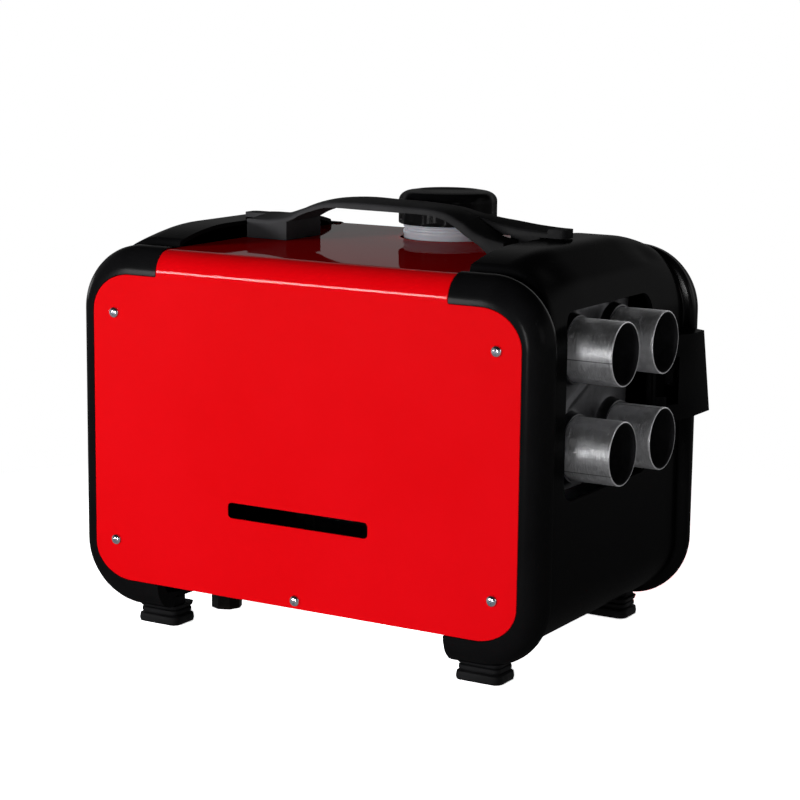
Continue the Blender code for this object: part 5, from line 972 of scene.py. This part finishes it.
GRIP_DEPTH, CAP_CENTRE, CAP_RADIUS, CAP_BORE = 0.0015, (0.002, 0.071), 0.0354, 0.0323
CAP_LOW_Z, CAP_SHOULDER_Z = 0.2771, 0.2933
cap_bm = bmesh.new()
shoulder = [(0.0000, 0.2994), (0.0110, 0.2995), (0.0190, 0.2998), (0.0215, 0.3006), (0.0240, 0.3008),
            (0.0265, 0.3003)]
for step in range(12, 91, 6):
    angle = math.radians(step)
    shoulder.append((0.0270 + 0.0084 * math.sin(angle), CAP_SHOULDER_Z + 0.0069 * math.cos(angle)))
walls = [(CAP_RADIUS, CAP_SHOULDER_Z - 0.0008 * step) for step in range(1, 19)]
walls += [(CAP_RADIUS, 0.2783), (0.0352, 0.2774), (0.0347, CAP_LOW_Z)]
inner = [(0.0328, CAP_LOW_Z), (0.0324, 0.2775), (CAP_BORE, 0.2785), (CAP_BORE, 0.2968), (0.0318, 0.2972),
         (0.0, 0.2972)]
turned_form(cap_bm, "Z", (*CAP_CENTRE, 0.0), shoulder + walls + inner, 144)
for vert in cap_bm.verts:
    arm = Vector((vert.co.x - CAP_CENTRE[0], vert.co.y - CAP_CENTRE[1], 0.0))
    if arm.length > 0.0300:
        vert.co -= arm.normalized() * grip_depth(math.atan2(arm.y, arm.x), vert.co.z)
piece("cap_shell", cap_bm, gloss_black, "cap", ("filler_cap",))


# Cable cover: a hollow black moulding on the right shell behind the tubes, open at the front,
# where the wiring leaves the case.
COVER_LOW_Z, COVER_HIGH_Z, COVER_PEG = 0.152, 0.213, 0.0080
HOLLOW_LOW, HOLLOW_HIGH = (0.1653, 0.058, 0.164), (0.1875, 0.096, 0.197)
MOUTH_LOW, MOUTH_HIGH = (0.1768, 0.042, 0.170), (0.1865, 0.082, 0.196)


def cover_outline(x, front, rear_low, rear_high, taper):
    low, high = COVER_LOW_Z + taper, COVER_HIGH_Z - taper
    return (x, [(front, low), (rear_low, low), (rear_high, high), (front + taper, high)])


cover_bm = lofted([
    cover_outline(0.1753, 0.052, 0.0975, 0.0975, 0.0), cover_outline(0.182, 0.056, 0.0975, 0.0975, 0.0),
    cover_outline(0.183, 0.058, 0.108, 0.0985, 0.0002), cover_outline(0.1915, 0.076, 0.1135, 0.0995, 0.0012)])
cover_bm = solid_from(cover_bm, [plug("X", GLAND_AT, COVER_PEG, 0.168, 0.177, 32)], [
    rounded_block(HOLLOW_LOW, HOLLOW_HIGH), rounded_block(MOUTH_LOW, MOUTH_HIGH)])
piece("cover_moulding", cover_bm, gloss_black, "housing", ("cable_cover",), 0.0009, 25.0)


# Air intake grille: a black moulded disc pressed into the left shell, with three rows of curved
# slots between six spokes, a raised rim and a small boss in the middle.
def arc_slots(inner, pitch, ring, half_spoke, rows, spokes, low, high):
    """Cutters for rows of curved slots about the heater's axis."""
    bm = bmesh.new()
    for row in range(rows):
        for spoke in range(spokes):
            start = 2 * math.pi * spoke / spokes
            outline = []
            for radius, back in ((inner + pitch * row, False), (inner + pitch * (row + 1) - ring, True)):
                margin = math.asin(half_spoke / radius)
                width = 2 * math.pi / spokes - 2 * margin
                steps = [start + margin + width * step / 12 for step in range(13)]
                outline += [(low, HEATER_Y + radius * math.cos(angle), HEATER_Z + radius * math.sin(angle))
                            for angle in (reversed(steps) if back else steps)]
            slab(outline, (high - low, 0.0, 0.0), bm)
    return bm


look, vent_plastic = finish("vent_plastic", (0.0034, 0.0034, 0.0037), 0.5, 0.0, Specular_IOR_Level=0.10)
grain = look.noise(1500.0, 3.0, 0.6)
dust = scuffed(look, 0.0, 1.0, 38.0)
look.surface(Base_Color=tint(look, dust, (0.0028, 0.0028, 0.0031), (0.0085, 0.0082, 0.0078)),
             Roughness=0.42 + grain * 0.10 + dust * 0.20)
relief(look, grain, 0.12, 0.0002)
disc_bm = turned_form(bmesh.new(), "X", (0.0, HEATER_Y, HEATER_Z), [
    (0.0, -0.1748), (0.0058, -0.1747), (0.0070, -0.1742), (0.0075, -0.1740), (0.0408, -0.1740),
    (0.0414, -0.1748), (0.0420, -0.1750), (0.0434, -0.1750), (0.0440, -0.1745), (0.0440, -0.1707),
    (0.0470, -0.1707), (0.0470, -0.1690), (0.0425, -0.1690), (0.0420, -0.1699), (0.0, -0.1699)], 96)
slots_bm = arc_slots(inner=0.008, pitch=0.01173, ring=0.0022, half_spoke=0.0014, rows=3, spokes=6,
                     low=-0.185, high=-0.160)
disc_bm = solid_from(disc_bm, (), [slots_bm])
piece("grille_disc", disc_bm, vent_plastic, "housing", ("intake_grille",), 0.0003, 35.0)


# Controller: a grey bezel set in the left shell, with a dark display window and four rubber keys
# that travel a little over a millimetre.
CONTROLLER_AT = (-0.020, 0.092)
KEYS = (("power", -0.054, 0.100), ("mode", -0.054, 0.084), ("up", -0.038, 0.100), ("down", -0.038, 0.084))
WINDOW_LOW, WINDOW_HIGH = (-0.025, 0.077), (0.021, 0.107)
BEZEL_FRONT_X, BEZEL_REAR_X, KEY_RADIUS, KEY_HOLE = -0.1769, -0.1753, 0.0040, 0.0043
BEZEL_HALF, BODY_HALF, WINDOW_GAP = (0.048, 0.025), (0.045, 0.022), 0.0003
GROOVE_OUTER_HALF, GROOVE_INNER_HALF = (0.0455, 0.0225), (0.0449, 0.0219)
look, bezel_plastic = finish("bezel_plastic", (0.022, 0.0225, 0.024), 0.45, 0.0, Specular_IOR_Level=0.2)
grain = look.noise(1300.0, 3.0, 0.6)
pale_share = scuffed(look, 0.0, 1.0, 70.0)
look.surface(Base_Color=tint(look, pale_share, (0.020, 0.0205, 0.022), (0.036, 0.0365, 0.038)),
             Roughness=0.40 + grain * 0.12 - pale_share * 0.10)
relief(look, grain, 0.10, 0.0002)
bezel_bm = block_about(CONTROLLER_AT, *BEZEL_HALF, BEZEL_FRONT_X, BEZEL_REAR_X, 0.006)
cuts = [upright_on_x(-0.180, -0.1751, (WINDOW_LOW[0] - WINDOW_GAP, WINDOW_LOW[1] - WINDOW_GAP),
                     (WINDOW_HIGH[0] + WINDOW_GAP, WINDOW_HIGH[1] + WINDOW_GAP), 0.0018)]
cuts += [plug("X", (0.0, y, z), KEY_HOLE, -0.180, -0.1715, 32) for name, y, z in KEYS]
groove = block_about(CONTROLLER_AT, *GROOVE_OUTER_HALF, -0.1780, -0.1766, 0.0042)
island = block_about(CONTROLLER_AT, *GROOVE_INNER_HALF, -0.1790, -0.1760, 0.0038)
cuts.append(solid_from(groove, (), [island]))
bezel_bm = solid_from(bezel_bm, [block_about(CONTROLLER_AT, *BODY_HALF, -0.1762, -0.1603, 0.004)], cuts)
piece("controller_bezel", bezel_bm, bezel_plastic, "housing", ("controller_housing",),
      0.0003, 35.0)

look, display_glass = finish("display_glass", (0.010, 0.013, 0.018), 0.06, 0.0, Coat_Weight=0.6,
                             Coat_Roughness=0.03)
place_y, place_z = look.parts(look.place)[1:]
off_y = abs(place_y - (WINDOW_LOW[0] + WINDOW_HIGH[0]) / 2)
off_z = abs(place_z - (WINDOW_LOW[1] + WINDOW_HIGH[1]) / 2)
panel = look.ramp(off_y, 0.0195, 0.0198, 1.0, 0.0) * look.ramp(off_z, 0.0118, 0.0121, 1.0, 0.0)
rows = look.node("ShaderNodeTexWave", {"bands_direction": "Z"}, {
    "Vector": look.place, "Scale": 900.0, "Distortion": 0.0})
smudge = scuffed(look, 0.0, 1.0, 90.0)
lit_rows = panel * (0.85 + rows * 0.15)
look.surface(Base_Color=tint(look, lit_rows, (0.004, 0.004, 0.005), (0.034, 0.044, 0.052)),
             Roughness=0.05 + smudge * 0.14)
lens_bm = upright_on_x(BEZEL_FRONT_X, BEZEL_REAR_X - 0.0001, WINDOW_LOW, WINDOW_HIGH, 0.0015)
piece("display_window", lens_bm, display_glass, "housing", ("display_lens",), 0.0003, 35.0)

look, key_rubber = finish("key_rubber", (0.006, 0.006, 0.0065), 0.62, 0.0, Specular_IOR_Level=0.15)
grain = look.noise(2600.0, 2.0, 0.5)
shine = scuffed(look, 0.0, 1.0, 240.0)
look.surface(Base_Color=tint(look, shine, (0.005, 0.005, 0.0055), (0.010, 0.010, 0.0108)),
             Roughness=0.66 + grain * 0.08 - shine * 0.22)
relief(look, grain, 0.12, 0.00015)
for name, y, z in KEYS:
    key_bm = turned_form(bmesh.new(), "X", (0.0, y, z), [
        (0.0, -0.1780), (0.0012, -0.17805), (0.0022, -0.17825), (0.0028, -0.1784), (0.0033, -0.1783),
        (0.0037, -0.1780), (0.0039, -0.1776), (KEY_RADIUS, -0.1770), (KEY_RADIUS, -0.1736), (0.0038, -0.1734),
        (0.0, -0.1734)], 40)
    piece(f"key_{name}", key_bm, key_rubber, f"{name}_button", (f"button_{name}",))
